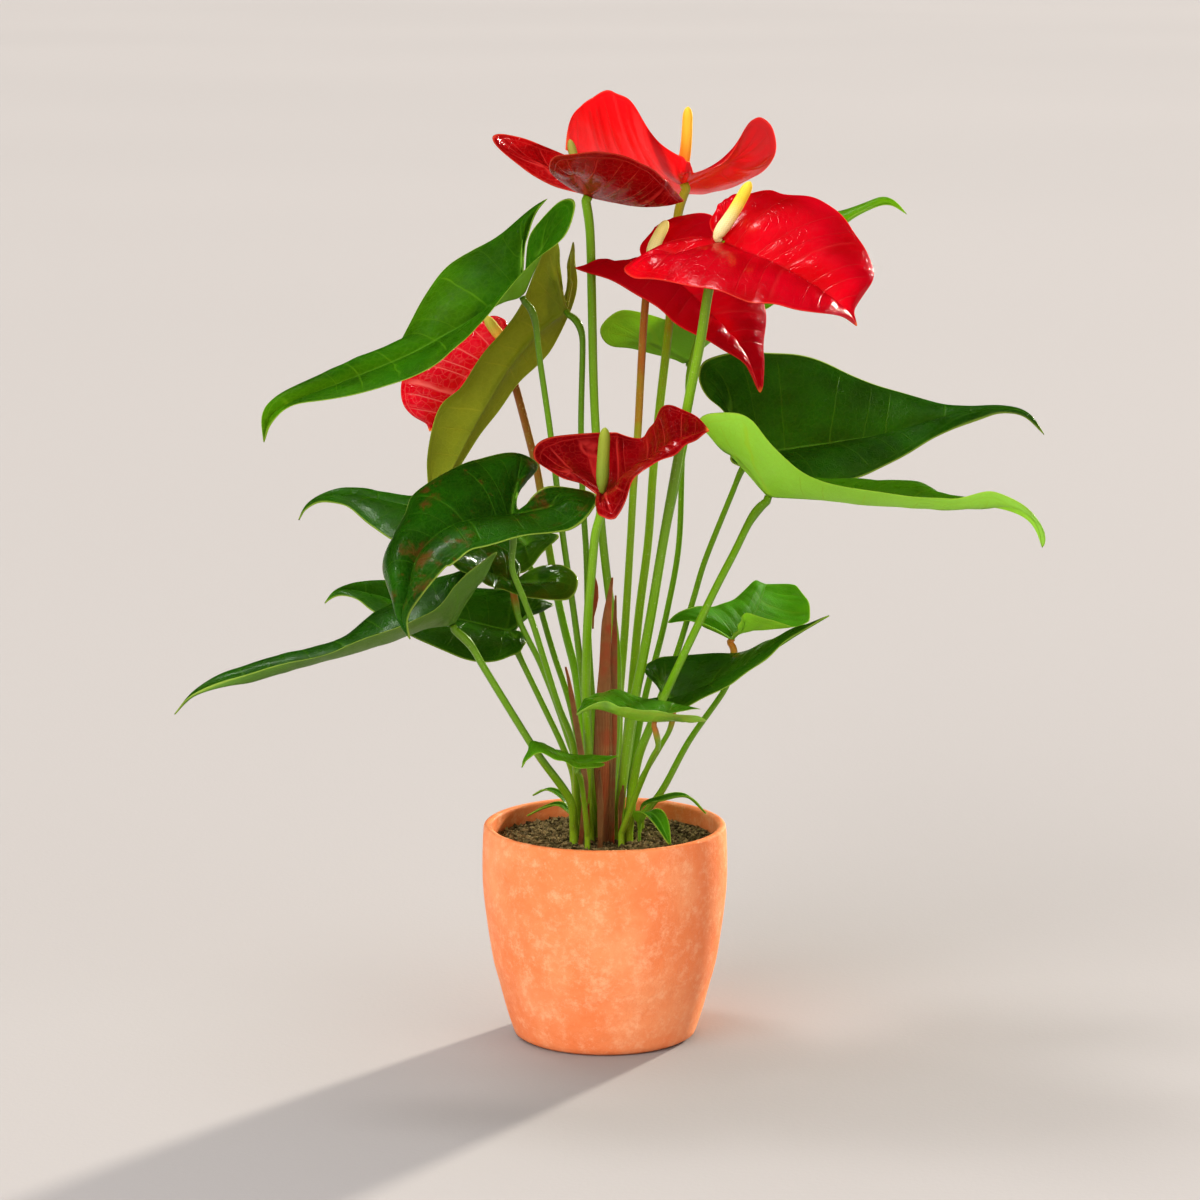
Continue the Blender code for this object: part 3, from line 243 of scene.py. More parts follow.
        "left": [(37, -102, 200), (44, -108, 199), (53, -112, 200), (48, -119, 204), (39, -122, 206),
            (28, -124, 207), (18, -124, 209), (8, -123, 210), (-1, -121, 212), (-8, -117, 210)],
        "right": [(36, -88, 199), (45, -80, 200), (51, -72, 197), (41, -66, 199), (29, -64, 201),
            (19, -64, 203), (11, -66, 206), (2, -72, 208), (-7, -84, 208), (-12, -98, 207)],
        "stalk": [(27, -94, 189), (28, -88, 181), (25, -78, 173), (18, -48, 149)],
        "arch": (-2, 2), "foot": (9, -21), "radii": (1.3, 1.5, 1.8)},
    "leaf_13": {
        "notch": (-11, -71, 167),
        "mid": [(-14, -72, 167), (-24, -78, 173), (-31, -83, 178), (-36, -86, 180), (-40, -89, 177),
            (-44, -90, 170)],
        "left": [(-6, -78, 167), (0, -86, 171), (-4, -94, 171), (-13, -98, 172), (-23, -98, 175),
            (-30, -96, 178), (-36, -94, 179), (-40, -92, 175)],
        "right": [(-4, -65, 167), (3, -57, 167), (8, -50, 168), (-2, -50, 168), (-13, -52, 168),
            (-23, -58, 172), (-31, -68, 177), (-39, -78, 182), (-41, -86, 178)],
        "stalk": [(-13, -64, 158), (-11, -44, 139)],
        "arch": (1, 1), "foot": (-9.5, -26), "radii": (1.2, 1.4, 1.6)},
    "leaf_14": {
        "notch": (44, 98, 362),
        "mid": [(47, 100, 362), (60, 115, 374), (80, 127, 392), (106, 137, 414), (135, 143, 437),
            (152, 145, 447), (163, 146, 450), (174, 145, 442)],
        "left": [(41, 105, 367), (36, 114, 373), (33, 124, 378), (39, 134, 385), (55, 141, 394),
            (81, 147, 412), (101, 151, 430), (121, 153, 441), (137, 153, 444), (150, 151, 449),
            (160, 148, 453), (167, 146, 450)],
        "right": [(37, 91, 366), (23, 81, 371), (12, 73, 374), (5, 67, 375), (0, 64, 378), (-3, 63, 385),
            (1, 69, 391), (10, 77, 395), (24, 81, 392), (39, 83, 387), (53, 83, 387), (68, 89, 389),
            (82, 97, 394), (92, 105, 393), (105, 111, 404), (119, 119, 420), (138, 133, 440),
            (153, 141, 447), (164, 145, 448)],
        "stalk": [(48, 100, 357), (47, 98, 336), (44, 94, 311), (42, 80, 262), (35, 66, 225),
            (29, 56, 202), (23, 47, 182), (16, 32, 147)],
        "arch": (2, -2), "foot": (13, 11)},
    "leaf_15": {
        "notch": (51, 92, 407),
        "mid": [(48, 92, 406), (31, 90, 412), (14, 88, 417), (1, 86, 420)],
        "left": [(58, 84, 402), (50, 76, 399), (34, 72, 402), (21, 74, 410), (10, 81, 416)],
        "right": [(57, 102, 414), (45, 107, 419), (26, 102, 420), (11, 92, 421)],
        "stalk": [(50, 90, 399), (53, 80, 392), (53, 72, 384), (49, 66, 371), (46, 61, 357),
            (46, 60, 329), (35, 54, 274), (25, 46, 224), (18, 37, 181), (12, 25, 143)],
        "arch": (1, 1), "foot": (8, 15), "radii": (1.4, 1.5, 1.8)},
}

# flowers: the same for the spathe and its peduncle, and the spike from its middle to its tip
FLOWERS = {
    "spathe_1": {
        "notch": (-13, 0, 466),
        "mid": [(-9, 0, 464), (3, 4, 461), (19, 10, 458), (33, 16, 458), (43, 20, 460)],
        "left": [(-26, 4, 468), (-41, 6, 476), (-56, 6, 488), (-61, 6, 495), (-56, 20, 496),
            (-45, 34, 494), (-34, 44, 488), (-19, 52, 481), (0, 54, 475), (19, 46, 467), (34, 32, 462)],
        "right": [(-21, -12, 471), (-29, -26, 478), (-28, -42, 487), (-19, -50, 490), (-8, -52, 492),
            (3, -48, 490), (13, -40, 487), (23, -28, 482), (33, -8, 473)],
        "stalk": [(-8, 0, 446), (-7, 0, 408), (-6, 0, 359), (-4, 1, 321), (-2, 2, 286), (2, 3, 249),
            (6, 3, 220), (7, 3, 193), (5, 1, 154)],
        "arch": (-3, -4), "foot": (0.5, -6.5), "radii": (2.5, 2.3, 2.5),
        "spadix": [(-15, 4, 480), (-19, 8, 494)], "spadix_radius": 2.9},
    "spathe_2": {
        "notch": (49, 64, 472),
        "mid": [(44, 74, 465), (28, 80, 469), (8, 84, 476), (-8, 84, 481), (-22, 80, 484)],
        "left": [(46, 54, 479), (38, 48, 484), (29, 44, 491), (22, 42, 500), (18, 42, 507), (14, 42, 513),
            (10, 43, 516), (3, 44, 518), (-3, 46, 517), (-9, 48, 513), (-15, 52, 508), (-19, 58, 501),
            (-21, 68, 491)],
        "right": [(58, 64, 475), (66, 64, 476), (72, 66, 484), (78, 72, 497), (82, 76, 501),
            (87, 80, 502), (94, 90, 495), (96, 102, 482), (90, 112, 470), (82, 118, 464), (70, 122, 458),
            (55, 124, 457), (34, 124, 459), (9, 116, 467), (-11, 98, 477)],
        "stalk": [(42, 74, 455), (40, 73, 444), (38, 66, 418), (36, 58, 392), (31, 50, 349),
            (27, 44, 311), (24, 38, 269), (19, 32, 231), (15, 25, 188), (11, 16, 151)],
        "arch": (-5, -4), "foot": (7, 7), "radii": (2.5, 2.3, 2.5),
        "spadix": [(45, 72, 487), (46, 72, 508)], "spadix_radius": 3.5},
    "spathe_3": {
        "notch": (58, -54, 447),
        "mid": [(60, -60, 445), (73, -66, 440), (91, -76, 433), (109, -86, 423), (121, -92, 414),
            (126, -94, 409), (130, -94, 404)],
        "left": [(55, -44, 452), (57, -34, 457), (64, -26, 463), (77, -22, 467), (88, -22, 469),
            (95, -24, 467), (109, -28, 466), (119, -34, 461), (127, -40, 455), (135, -52, 443),
            (140, -66, 432), (139, -74, 425), (134, -82, 419), (129, -90, 412)],
        "right": [(49, -52, 447), (41, -52, 446), (30, -54, 443), (19, -58, 438), (10, -64, 431),
            (13, -76, 428), (24, -92, 428), (39, -108, 427), (55, -120, 425), (70, -128, 421),
            (85, -132, 419), (107, -126, 414), (122, -108, 411)],
        "stalk": [(57, -62, 432), (54, -62, 419), (50, -60, 392), (45, -57, 366), (40, -53, 337),
            (31, -45, 283), (25, -38, 244), (20, -32, 215), (16, -27, 194), (11, -19, 159)],
        "arch": (6, 5), "foot": (7, -9.5), "radii": (2.6, 2.6, 2.7),
        "spadix": [(67, -58, 460), (76, -57, 476)], "spadix_radius": 3.8},
    "spathe_4": {
        "notch": (20, 26, 429),
        "mid": [(25, 22, 428), (41, 14, 415), (57, 4, 400), (72, -2, 381), (79, -4, 368), (84, -4, 358)],
        "left": [(19, 38, 433), (23, 46, 437), (28, 52, 444), (37, 56, 447), (48, 58, 450), (59, 58, 449),
            (72, 54, 439), (81, 44, 423), (87, 32, 405), (88, 22, 392), (86, 12, 378), (86, 0, 363)],
        "right": [(5, 12, 425), (-7, -6, 425), (-17, -12, 427), (-8, -13, 423), (3, -15, 420),
            (14, -18, 415), (25, -20, 408), (36, -24, 399), (46, -26, 393), (58, -24, 387),
            (69, -18, 380), (77, -12, 371)],
        "stalk": [(23, 22, 414), (21, 22, 390), (19, 22, 352), (18, 22, 332), (16, 21, 308),
            (14, 19, 272), (11, 16, 223), (8, 13, 186), (7, 9, 153)],
        "arch": (4, 4), "foot": (2, 1), "radii": (2.2, 2.1, 2.5),
        "spadix": [(29, 24, 440), (34, 26, 449)], "spadix_radius": 3.8},
    "spathe_5": {
        "notch": (-4, -112, 319),
        "mid": [(-1, -112, 320), (9, -112, 324), (21, -110, 333), (36, -106, 344), (54, -102, 351)],
        "left": [(-8, -106, 322), (-15, -102, 325), (-22, -99, 326), (-36, -88, 333), (-37, -80, 339),
            (-31, -74, 343), (-22, -70, 345), (-8, -68, 346), (5, -66, 345), (19, -64, 342),
            (24, -64, 349), (31, -66, 359), (41, -72, 358), (48, -84, 356)],
        "right": [(-5, -121, 316), (-3, -132, 311), (3, -136, 310), (8, -138, 314), (12, -140, 322),
            (14, -140, 330), (19, -138, 335), (25, -134, 338), (33, -128, 341), (40, -120, 344),
            (48, -110, 348)],
        "stalk": [(-3, -109, 305), (-5, -108, 299), (-7, -98, 276), (-9, -84, 250), (-10, -64, 219),
            (-10, -52, 198), (-9, -38, 166), (-10, -24, 132)],
        "arch": (-4, 4), "foot": (-8, -14.5), "radii": (2.3, 2.4, 2.5),
        "spadix": [(-1, -112, 338), (0, -112, 354)], "spadix_radius": 3.6},
    "spathe_6": {
        "notch": (-54, 78, 381),
        "mid": [(-57, 76, 376), (-70, 74, 366), (-82, 70, 352), (-92, 66, 339), (-98, 64, 328)],
        "left": [(-46, 74, 375), (-47, 68, 363), (-58, 62, 352), (-73, 58, 341), (-86, 58, 334)],
        "right": [(-57, 86, 389), (-74, 92, 389), (-94, 90, 378), (-108, 84, 366), (-114, 76, 354),
            (-113, 70, 343), (-107, 67, 336), (-100, 65, 333)],
        "stalk": [(-55, 76, 367), (-50, 74, 352), (-42, 70, 322), (-37, 66, 301), (-33, 60, 273),
            (-30, 56, 256), (-26, 51, 234), (-21, 46, 213), (-16, 41, 194), (-12, 33, 164)],
        "arch": (3, 4), "foot": (-2, 9), "radii": (2.3, 2.2, 2.5),
        "spadix": [(-62, 74, 385), (-67, 73, 392)], "spadix_radius": 3.6},
}

# low leaves at the crown: midrib above the soil to the tip, half width, foot in the soil
LOW_LEAVES = {
    "low_leaf_1": {"mid": [(-19, 26, 121), (-24, 30, 127), (-32, 34, 130), (-40, 38, 126)],
                   "half_width": 3.6, "foot": (-14, 20)},
    "low_leaf_2": {"mid": [(-18, 14, 120), (-25, 17, 125), (-33, 20, 123), (-43, 22, 118)],
                   "half_width": 4.2, "foot": (-13, 12)},
    "low_leaf_3": {"mid": [(20, -25, 129), (25, -32, 132), (30, -39, 128), (35, -46, 118)],
                   "half_width": 6.0, "foot": (19, -13)},
    "low_leaf_4": {"mid": [(21, 6, 127), (31, 8, 130), (45, 12, 131), (56, 15, 121)],
                   "half_width": 5.0, "foot": (20, 4)},
}

# dry brown sheaths among the stalks: line from foot to tip and half widths along it
SHEATHS = {
    "sheath_1": {
        "line": [(1, -18, 101), (1, -18, 118), (-1, -24, 150), (-1, -30, 185), (0, -32, 215),
                 (1, -32, 240), (4, -33, 262)],
        "half_widths": (3.6, 4.6, 5.4, 4.6, 3.2, 2.6, 0.5)},
    "sheath_2": {
        "line": [(-13, -20, 101), (-13, -20.5, 113), (-12, -27, 126), (-11, -33, 139),
                 (-10.5, -42, 152), (-13, -46, 170), (-16, -50, 190), (-19, -52, 208), (-21, -53, 217)],
        "half_widths": (1.2, 1.3, 1.5, 1.6, 1.7, 1.6, 1.3, 0.5)},
    "sheath_3": {
        "line": [(-3, -25.5, 101), (-2.5, -26, 118), (-2.5, -31, 138), (-3, -34, 156)],
        "half_widths": (1.3, 1.7, 1.5, 0.5)},
}

# small dry scraps clasping the stalks, too thin for solids
SCRAPS = {
    "scrap_1": {"line": [(-6.4, -75, 242), (-6.2, -79, 249), (-5.6, -85, 259), (-5.2, -90, 268),
                         (-5.6, -93, 273)],
                "half_widths": (0.4, 1.4, 2.0, 1.5, 0.4)},
    "scrap_2": {"line": [(8, -19, 112), (8, -20, 126), (8.6, -20.5, 136), (10, -21, 145)],
                "half_widths": (1.2, 2.0, 2.2, 0.4)},
    "scrap_3": {"line": [(3.5, -19.5, 112), (4, -24, 150), (4.5, -29, 190), (5, -31, 225),
                         (5.8, -31.5, 252)],
                "half_widths": (1.6, 2.2, 2.0, 1.6, 0.4)},
    "scrap_4": {"line": [(-9.5, -24, 112), (-9.5, -30, 150), (-10, -36, 185), (-11, -40, 214)],
                "half_widths": (1.0, 1.3, 1.1, 0.4)},
}

# colours that several looks share
RIM_GREEN = (0.36, 0.46, 0.07)
RIM_RED = (0.9, 0.12, 0.06)
TIP_YELLOW = (0.85, 0.28, 0.05)
BLOTCH_BROWN = (0.13, 0.035, 0.01)
MIDRIB_GLOW = (0.55, 0.72, 0.2)
SPECK_GREEN = (0.4, 0.5, 0.2)

# looks of each blade; what a name doesn't give comes from "common"
LEAF_LOOKS = {
    "common": {"dark": (0.003, 0.028, 0.0005), "light": (0.009, 0.072, 0.001),
               "under": (0.18, 0.36, 0.04), "vein": (0.10, 0.26, 0.015),
               "glow": (0.56, 0.86, 0.08), "share": 0.18},
    "leaf_1": {"light": (0.014, 0.095, 0.001), "share": 0.28, "coat": 0.0, "gloss": 0.07, "lined": 0.42},
    "leaf_2": {"dark": (0.10, 0.115, 0.001), "light": (0.17, 0.17, 0.002), "vein": (0.33, 0.32, 0.03),
               "under": (0.24, 0.28, 0.02), "glow": (0.65, 0.62, 0.04), "share": 0.2, "lined": 0.5},
    "leaf_3": {"blotch": 0.7, "share": 0.1},
    "leaf_5": {"roughness": 0.2, "coat": 0.8, "gloss": 0.5},
    "leaf_7": {"under": (0.10, 0.20, 0.03), "share": 0.12},
    "leaf_8": {"share": 0.14, "coat": 0.12},
    "leaf_9": {"share": 0.36, "under": (0.26, 0.46, 0.09)},
    "leaf_10": {"dark": (0.02, 0.13, 0.003), "light": (0.05, 0.24, 0.008), "share": 0.36,
                "roughness": 0.5, "coat": 0.0, "gloss": 0.06, "lined": 0.4},
    "leaf_12": {"dark": (0.02, 0.12, 0.005), "light": (0.06, 0.22, 0.012), "share": 0.3,
                "coat": 0.7, "gloss": 0.5},
    # leaf_13: paler greens, painted light on a leaf that gets little of it
    "leaf_13": {"dark": (0.03, 0.15, 0.005), "light": (0.08, 0.27, 0.012), "share": 0.4},
    "leaf_14": {"share": 0.4},
    "leaf_15": {"share": 0.4},
    "low_leaf": {"dark": (0.008, 0.06, 0.002), "light": (0.025, 0.14, 0.004), "under": (0.14, 0.34, 0.03),
                 "vein": (0.16, 0.38, 0.03), "glow": (0.56, 0.86, 0.08), "share": 0.25},
}

# looks of the stalks: colour below the blade, along it and near the soil, reach of the first
PETIOLE_LOOKS = {
    "green": ((0.13, 0.26, 0.006), (0.155, 0.32, 0.006), (0.24, 0.39, 0.02), 30),
    "brown": ((0.46, 0.15, 0.02), (0.155, 0.32, 0.006), (0.24, 0.39, 0.02), 16),
}
BROWN_TOPPED = ("leaf_4", "leaf_5", "leaf_10", "leaf_11", "leaf_12")
# looks of each spathe: "line" is a paler pink vein colour laid on by "net", partly the veins' own tone
# and partly painted highlight along them
SPATHE_LOOKS = {
    "common": {"deep": (0.38, 0.0005, 0.007), "bright": (0.58, 0.001, 0.018),
               "glow": (0.95, 0.012, 0.05), "share": 0.3, "net": 0.22, "gloss": 0.4,
               "line": (0.72, 0.06, 0.05)},
    # spathe_1: darker deep and bright reds, painted shade
    "spathe_1": {"deep": (0.22, 0.001, 0.002), "bright": (0.36, 0.002, 0.004), "share": 0.14, "net": 0.5},
    "spathe_2": {"glow": (1.0, 0.13, 0.13), "share": 0.45},
    "spathe_3": {"deep": (0.34, 0.0005, 0.003), "share": 0.38, "gloss": 0.45},
    "spathe_4": {"bright": (0.42, 0.0008, 0.014), "share": 0.4, "gloss": 0.14},
    # spathe_5: darker deep and bright reds, painted shade
    "spathe_5": {"deep": (0.13, 0.0005, 0.002), "bright": (0.26, 0.001, 0.005), "share": 0.18,
                 "net": 0.4},
    "spathe_6": {"net": 0.42, "line": (0.85, 0.25, 0.2), "share": 0.2},
}
PEDUNCLE_LOOKS = {
    "common": ((0.17, 0.34, 0.006), (0.19, 0.37, 0.006), (0.24, 0.40, 0.02), 40),
    "spathe_2": ((0.36, 0.29, 0.015), (0.24, 0.42, 0.008), (0.29, 0.46, 0.03), 120),
    "spathe_4": ((0.44, 0.13, 0.015), (0.24, 0.41, 0.008), (0.29, 0.46, 0.03), 130),
    "spathe_6": ((0.26, 0.09, 0.015), (0.20, 0.42, 0.008), (0.29, 0.46, 0.03), 150),
}

# looks of the spikes: colour low, colour high, and painted shade between the knobs
SPADIX_LOOKS = {
    "spathe_1": ((0.42, 0.38, 0.06), (0.36, 0.34, 0.06), (0.30, 0.22, 0.03)),
    "spathe_2": ((0.90, 0.36, 0.05), (0.92, 0.62, 0.06), (0.75, 0.22, 0.02)),
    "spathe_3": ((0.86, 0.78, 0.42), (0.86, 0.66, 0.06), (0.62, 0.44, 0.08)),
    # spathe_4: spike colours lightened, painted light on a spike that stands in shade
    "spathe_4": ((0.92, 0.86, 0.42), (0.95, 0.84, 0.32), (0.74, 0.58, 0.14)),
    "spathe_5": ((0.22, 0.30, 0.035), (0.30, 0.36, 0.04), (0.42, 0.40, 0.03)),
    "spathe_6": ((0.80, 0.42, 0.06), (0.55, 0.50, 0.08), (0.45, 0.22, 0.03)),
}


def smooth_line(points, count):
    """A smooth line through the points, cut into `count` equal steps along its length."""
    knots = np.array(points, float)
    ends = np.vstack([2 * knots[0] - knots[1], knots, 2 * knots[-1] - knots[-2]])
    fine = []
    for i in range(1, len(ends) - 2):
        p0, p1, p2, p3 = ends[i - 1:i + 3]
        for t in np.linspace(0, 1, 24, endpoint=False):
            fine.append(0.5 * (2 * p1 + (p2 - p0) * t + (2 * p0 - 5 * p1 + 4 * p2 - p3) * t ** 2
                               + (3 * p1 - p0 - 3 * p2 + p3) * t ** 3))
    fine = np.array(fine + [knots[-1]])
    return even_steps(fine, np.linspace(0, 1, count + 1))


def lengths_along(line):
    """Length of the line from its start to each of its points."""
    return np.concatenate([[0], np.cumsum(np.linalg.norm(np.diff(line, axis=0), axis=1))])


def unit(way):
    """The direction at length one."""
    return way / np.linalg.norm(way)


def even_steps(line, shares):
    """Points of a polyline at the given shares (0 to 1) of its length."""
    along = lengths_along(line)
    wanted = np.array(shares) * along[-1]
    return np.stack([np.interp(wanted, along, line[:, k]) for k in range(3)], axis=1)


def piece_from(name, verts, faces, material, nodes, marks=None, smooth=True):
    """A mesh piece from millimetre points that rides on the body and stands for its CAD nodes."""
    mesh = bpy.data.meshes.new(name)
    mesh.from_pydata([tuple(float(c) * MM for c in v) for v in verts], [], faces)
    for key, values in (marks or {}).items():
        layer = mesh.attributes.new(key, "FLOAT", "POINT")
        layer.data.foreach_set("value", np.asarray(values, np.float32))
    if smooth:
        mesh.shade_smooth()
    mesh.materials.append(material)
    thing = bpy.data.objects.new(name, mesh)
    bpy.context.scene.collection.objects.link(thing)
    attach(thing, "root")
    if nodes:
        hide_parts(*nodes)
    return thing


def lobe_turn(edge, start, ahead):
    """Share of the edge's length, from the notch, that lies behind the stalk."""
    back = (edge - start) @ ahead
    behind = [i for i, b in enumerate(back) if b <= 0]
    return min(max((behind[-1] if behind else 0) / (len(edge) - 1), 0.12), 0.62)


def rib_ends(edge, spine, first):
    """Points of the edge that the midrib's ribs reach, each a little ahead of its foot."""
    ends, last = [], len(edge) - 1
    for k in range(1, len(spine) - 1):
        ahead = unit(spine[k + 1] - spine[k - 1])
        slant = 0.4 * min(1, k / EASE_RIBS)
        room = last - (len(spine) - 1 - k)
        place = min(first + 1, room)
        while place < room:
            reach = edge[place] - spine[k]
            forward = float(reach @ ahead)
            if forward >= slant * math.sqrt(max(float(reach @ reach) - forward ** 2, 0)):
                break
            place += 1
        first = place
        ends.append(place / last)
    return ends + [1.0]


class Blade:
    """The middle surface of a leaf blade or a spathe, with what its material needs to know."""

    def __init__(self, shape, seed):
        self.verts, self.grid = [], {}
        self.marks = {key: [] for key in ("from_rib", "from_edge", "rib", "pitch", "lift", "ahead")}
        self.lay_ribs(shape)
        self.faces = self.grid_faces()
        self.verts = np.array(self.verts)
        self.marks = {key: np.array(values, float) for key, values in self.marks.items()}
        self.settle()
        phase = np.random.default_rng(seed).uniform(0, 6.28, 3)
        rib = self.marks["rib"]
        uneven = 0.22 * np.sin(0.43 * rib + phase[2]) + 0.1 * np.sin(1.1 * rib + phase[0])
        self.marks["vein"] = rib / VEIN_RIBS + uneven
        wave = 0.5 * np.sin(0.55 * rib + phase[0]) + 0.35 * np.sin(0.31 * rib + phase[1])
        lift = self.marks["lift"] + wave * self.reach() ** 3
        self.verts = self.verts + self.normals() * lift[:, None]

    def width(self):
        """Length of the rib that each point lies on."""
        return self.marks["from_rib"] + self.marks["from_edge"]

    def reach(self):
        """Share of its rib, from foot to edge, at which each point lies."""
        return self.marks["from_rib"] / np.maximum(self.width(), 0.01)

    def add(self, place, **marks):
        """One point of the surface and its measures."""
        self.verts.append(np.array(place, float))
        for key, values in self.marks.items():
            values.append(float(marks.get(key, 0)))
        return len(self.verts) - 1

    def lay_ribs(self, shape):
        """Ribs from the middle of each lobe, then from the midrib, out to the edge."""
        mid, arch = shape["mid"], shape["arch"]
        steps = BLADE_COLUMNS - LOBE_RIBS
        spine = even_steps(smooth_line(mid, 200), np.linspace(0, 1, steps + 1) ** 1.12)
        ahead = unit(even_steps(spine, (0, 0.3))[1] - spine[0])
        spine_ids = [self.add(place, ahead=k / steps, rib=LOBE_RIBS + k)
                     for k, place in enumerate(spine)]
        for side, lift in zip(("left", "right"), arch):
            edge = smooth_line([shape["notch"]] + shape[side] + [mid[-1]], EDGE_STEPS)
            turn = lobe_turn(edge, spine[0], ahead)
            first = int(turn * EDGE_STEPS)
            heart = (edge[:first + 1].mean(axis=0) * 2 + spine[0]) / 3
            edge = even_steps(edge, np.concatenate([
                np.linspace(0, 0.22 * turn, ROOT_RIBS + 1),
                np.linspace(0.22 * turn, 0.82 * turn, CAP_RIBS + 1)[1:],
                np.linspace(0.82 * turn, turn, ROOT_RIBS + 1)[1:],
                rib_ends(edge, spine, first)]))
            feet = [spine_ids[0]]
            for k in range(1, ROOT_RIBS + 1):
                feet.append(self.add(spine[0] + (heart - spine[0]) * k / ROOT_RIBS, rib=k))
            feet = feet + [feet[-1]] * (CAP_RIBS - 1) + feet[::-1] + spine_ids[1:]
            self.lay_side(side, lift, edge, feet, spine_ids[-1])

    def lay_side(self, side, lift, edge, feet, tip):
        """The points of one half, rib by rib."""
        for k in range(BLADE_COLUMNS + 1):
            foot = self.verts[feet[k]]
            self.grid[side, k, 0] = feet[k]
            ease = min(1, 0.25 + k / LOBE_RIBS) * min(1, (BLADE_COLUMNS - k) / EASE_RIBS)
            length = np.linalg.norm(edge[k] - foot)
            near = max(k - 1, 0)
            far = min(k + 1, BLADE_COLUMNS)
            outer = np.linalg.norm(edge[far] - edge[near]) / (far - near)
            inner = np.linalg.norm(self.verts[feet[far]] - self.verts[feet[near]]) / (far - near)
            for j, w in enumerate(RIB_SHARES[1:], 1):
                if k == BLADE_COLUMNS:
                    self.grid[side, k, j] = tip
                elif k == 0 and side == "right":
                    self.grid[side, k, j] = self.grid["left", k, j]
                else:
                    self.grid[side, k, j] = self.add(
                        foot + (edge[k] - foot) * w, from_rib=w * length, from_edge=(1 - w) * length,
                        rib=k, pitch=inner + (outer - inner) * w,
                        ahead=max(k - LOBE_RIBS, 0) / (BLADE_COLUMNS - LOBE_RIBS),
                        lift=lift * 4 * w * (1 - w) * ease if k else 0)

    def grid_faces(self):
        """Four-sided faces, three-sided where ribs share a foot, upper side outward."""
        faces = []
        for side in ("left", "right"):
            for k in range(BLADE_COLUMNS):
                for j in range(ROWS):
                    ring = [self.grid[side, k, j], self.grid[side, k, j + 1],
                            self.grid[side, k + 1, j + 1], self.grid[side, k + 1, j]]
                    add_ring(faces, ring if side == "right" else ring[::-1])
        return faces

    def settle(self):
        """Lets the lobes' free points settle between their neighbours, like a stretched film."""
        fixed = {point for (_, k, j), point in self.grid.items()
                 if k == 0 or k > LOBE_RIBS or j == ROWS}
        fixed.add(self.grid["left", 0, 0])
        links = {pair for face in self.faces for a, b in zip(face, face[1:] + face[:1])
                 for pair in ((a, b), (b, a))}
        one, other = np.array(sorted(links)).T
        count = np.bincount(one, minlength=len(self.verts))[:, None]
        free = np.array([i not in fixed for i in range(len(self.verts))])[:, None]
        for _ in range(SETTLE_ROUNDS):
            total = np.stack([np.bincount(one, self.verts[other, c], len(self.verts))
                              for c in range(3)], axis=1)
            self.verts = np.where(free, total / np.maximum(count, 1), self.verts)

    def normals(self):
        """Upper-side direction at each point."""
        normals = np.zeros_like(self.verts)
        for face in self.faces:
            a, b, c = (self.verts[i] for i in face[:3])
            way = np.cross(b - a, c - a)
            if len(face) == 4:
                way = way + np.cross(c - a, self.verts[face[3]] - a)
            for i in face:
                normals[i] += way
        return normals / np.maximum(np.linalg.norm(normals, axis=1, keepdims=True), 1e-9)

    def border(self):
        """Point numbers round the edge."""
        ring = [self.grid["right", k, ROWS] for k in range(BLADE_COLUMNS + 1)]
        return ring + [self.grid["left", k, ROWS] for k in range(BLADE_COLUMNS - 1, 0, -1)]

    def seat(self):
        """Where the stalk meets the blade, and the upper-side direction there."""
        return self.verts[0], self.normals()[0]

    def solid(self, ridge, quilt):
        """Both faces of the blade with a raised midrib below and sunken veins, closed at the edge."""
        marks = self.marks
        share = self.reach()
        between = 0.5 - 0.5 * np.cos(2 * math.pi * marks["vein"])
        uneven = 0.75 + 0.35 * np.sin(marks["vein"] * 2.3 + marks["from_rib"] * 0.21)
        puff = quilt * between * uneven * np.sin(math.pi * np.clip(share, 0, 1)) ** 0.7
        puff = puff * np.clip(self.width() / 15, 0, 1)
        normals = self.normals()
        middle = self.verts + normals * puff[:, None]
        half = BLADE_THICKNESS / 2 * (1 - 0.45 * share ** 4)
        size = np.clip(1 - marks["ahead"], 0, 1) ** 0.7
        keel = ridge * size * np.clip(1 - marks["from_rib"] / 1.7, 0, 1)
        verts = np.vstack([middle + normals * (half - 0.3 * keel)[:, None],
                           middle - normals * (half + keel)[:, None]])
        count = len(self.verts)
        faces = list(self.faces) + [tuple(i + count for i in reversed(face)) for face in self.faces]
        faces += side_wall(self.border(), count)
        out = {key: np.concatenate([values, values]) for key, values in marks.items() if key != "lift"}
        out["under"] = np.concatenate([np.zeros(count), np.ones(count)])
        return verts, faces, out


def add_ring(faces, ring):
    """Adds a face without the corners that repeat, unless nothing is left of it."""
    ring = [v for i, v in enumerate(ring) if v not in ring[:i]]
    if len(ring) > 2:
        faces.append(tuple(ring))


def side_wall(ring, count):
    """Faces between a ring of upper points and the lower ones, numbered `count` further on."""
    return [(b, a, a + count, b + count) for a, b in zip(ring, ring[1:] + ring[:1])]


def tube_rings(line, radii, sides):
    """Points, faces and measures of a round stalk along a line, closed at both ends."""
    line = np.array(line, float)
    ways = np.gradient(line, axis=0)
    ways /= np.linalg.norm(ways, axis=1, keepdims=True)
    side = np.cross(ways[0], (0.31, 0.95, 0.12))
    verts, along, around = [], [], []
    for place, way, radius, length in zip(line, ways, radii, lengths_along(line)):
        side = unit(side - way * (side @ way))
        up = np.cross(way, side)
        for k in range(sides):
            angle = 2 * math.pi * k / sides
            verts.append(place + (side * math.cos(angle) + up * math.sin(angle)) * radius)
            along.append(length)
            around.append(k / sides)
    faces = []
    for r in range(len(line) - 1):
        for k in range(sides):
            n = (k + 1) % sides
            faces.append((r * sides + k, r * sides + n, (r + 1) * sides + n, (r + 1) * sides + k))
    faces.append(tuple(range(sides))[::-1])
    faces.append(tuple(range((len(line) - 1) * sides, len(line) * sides)))
    return np.array(verts), faces, np.array(along), np.array(around)


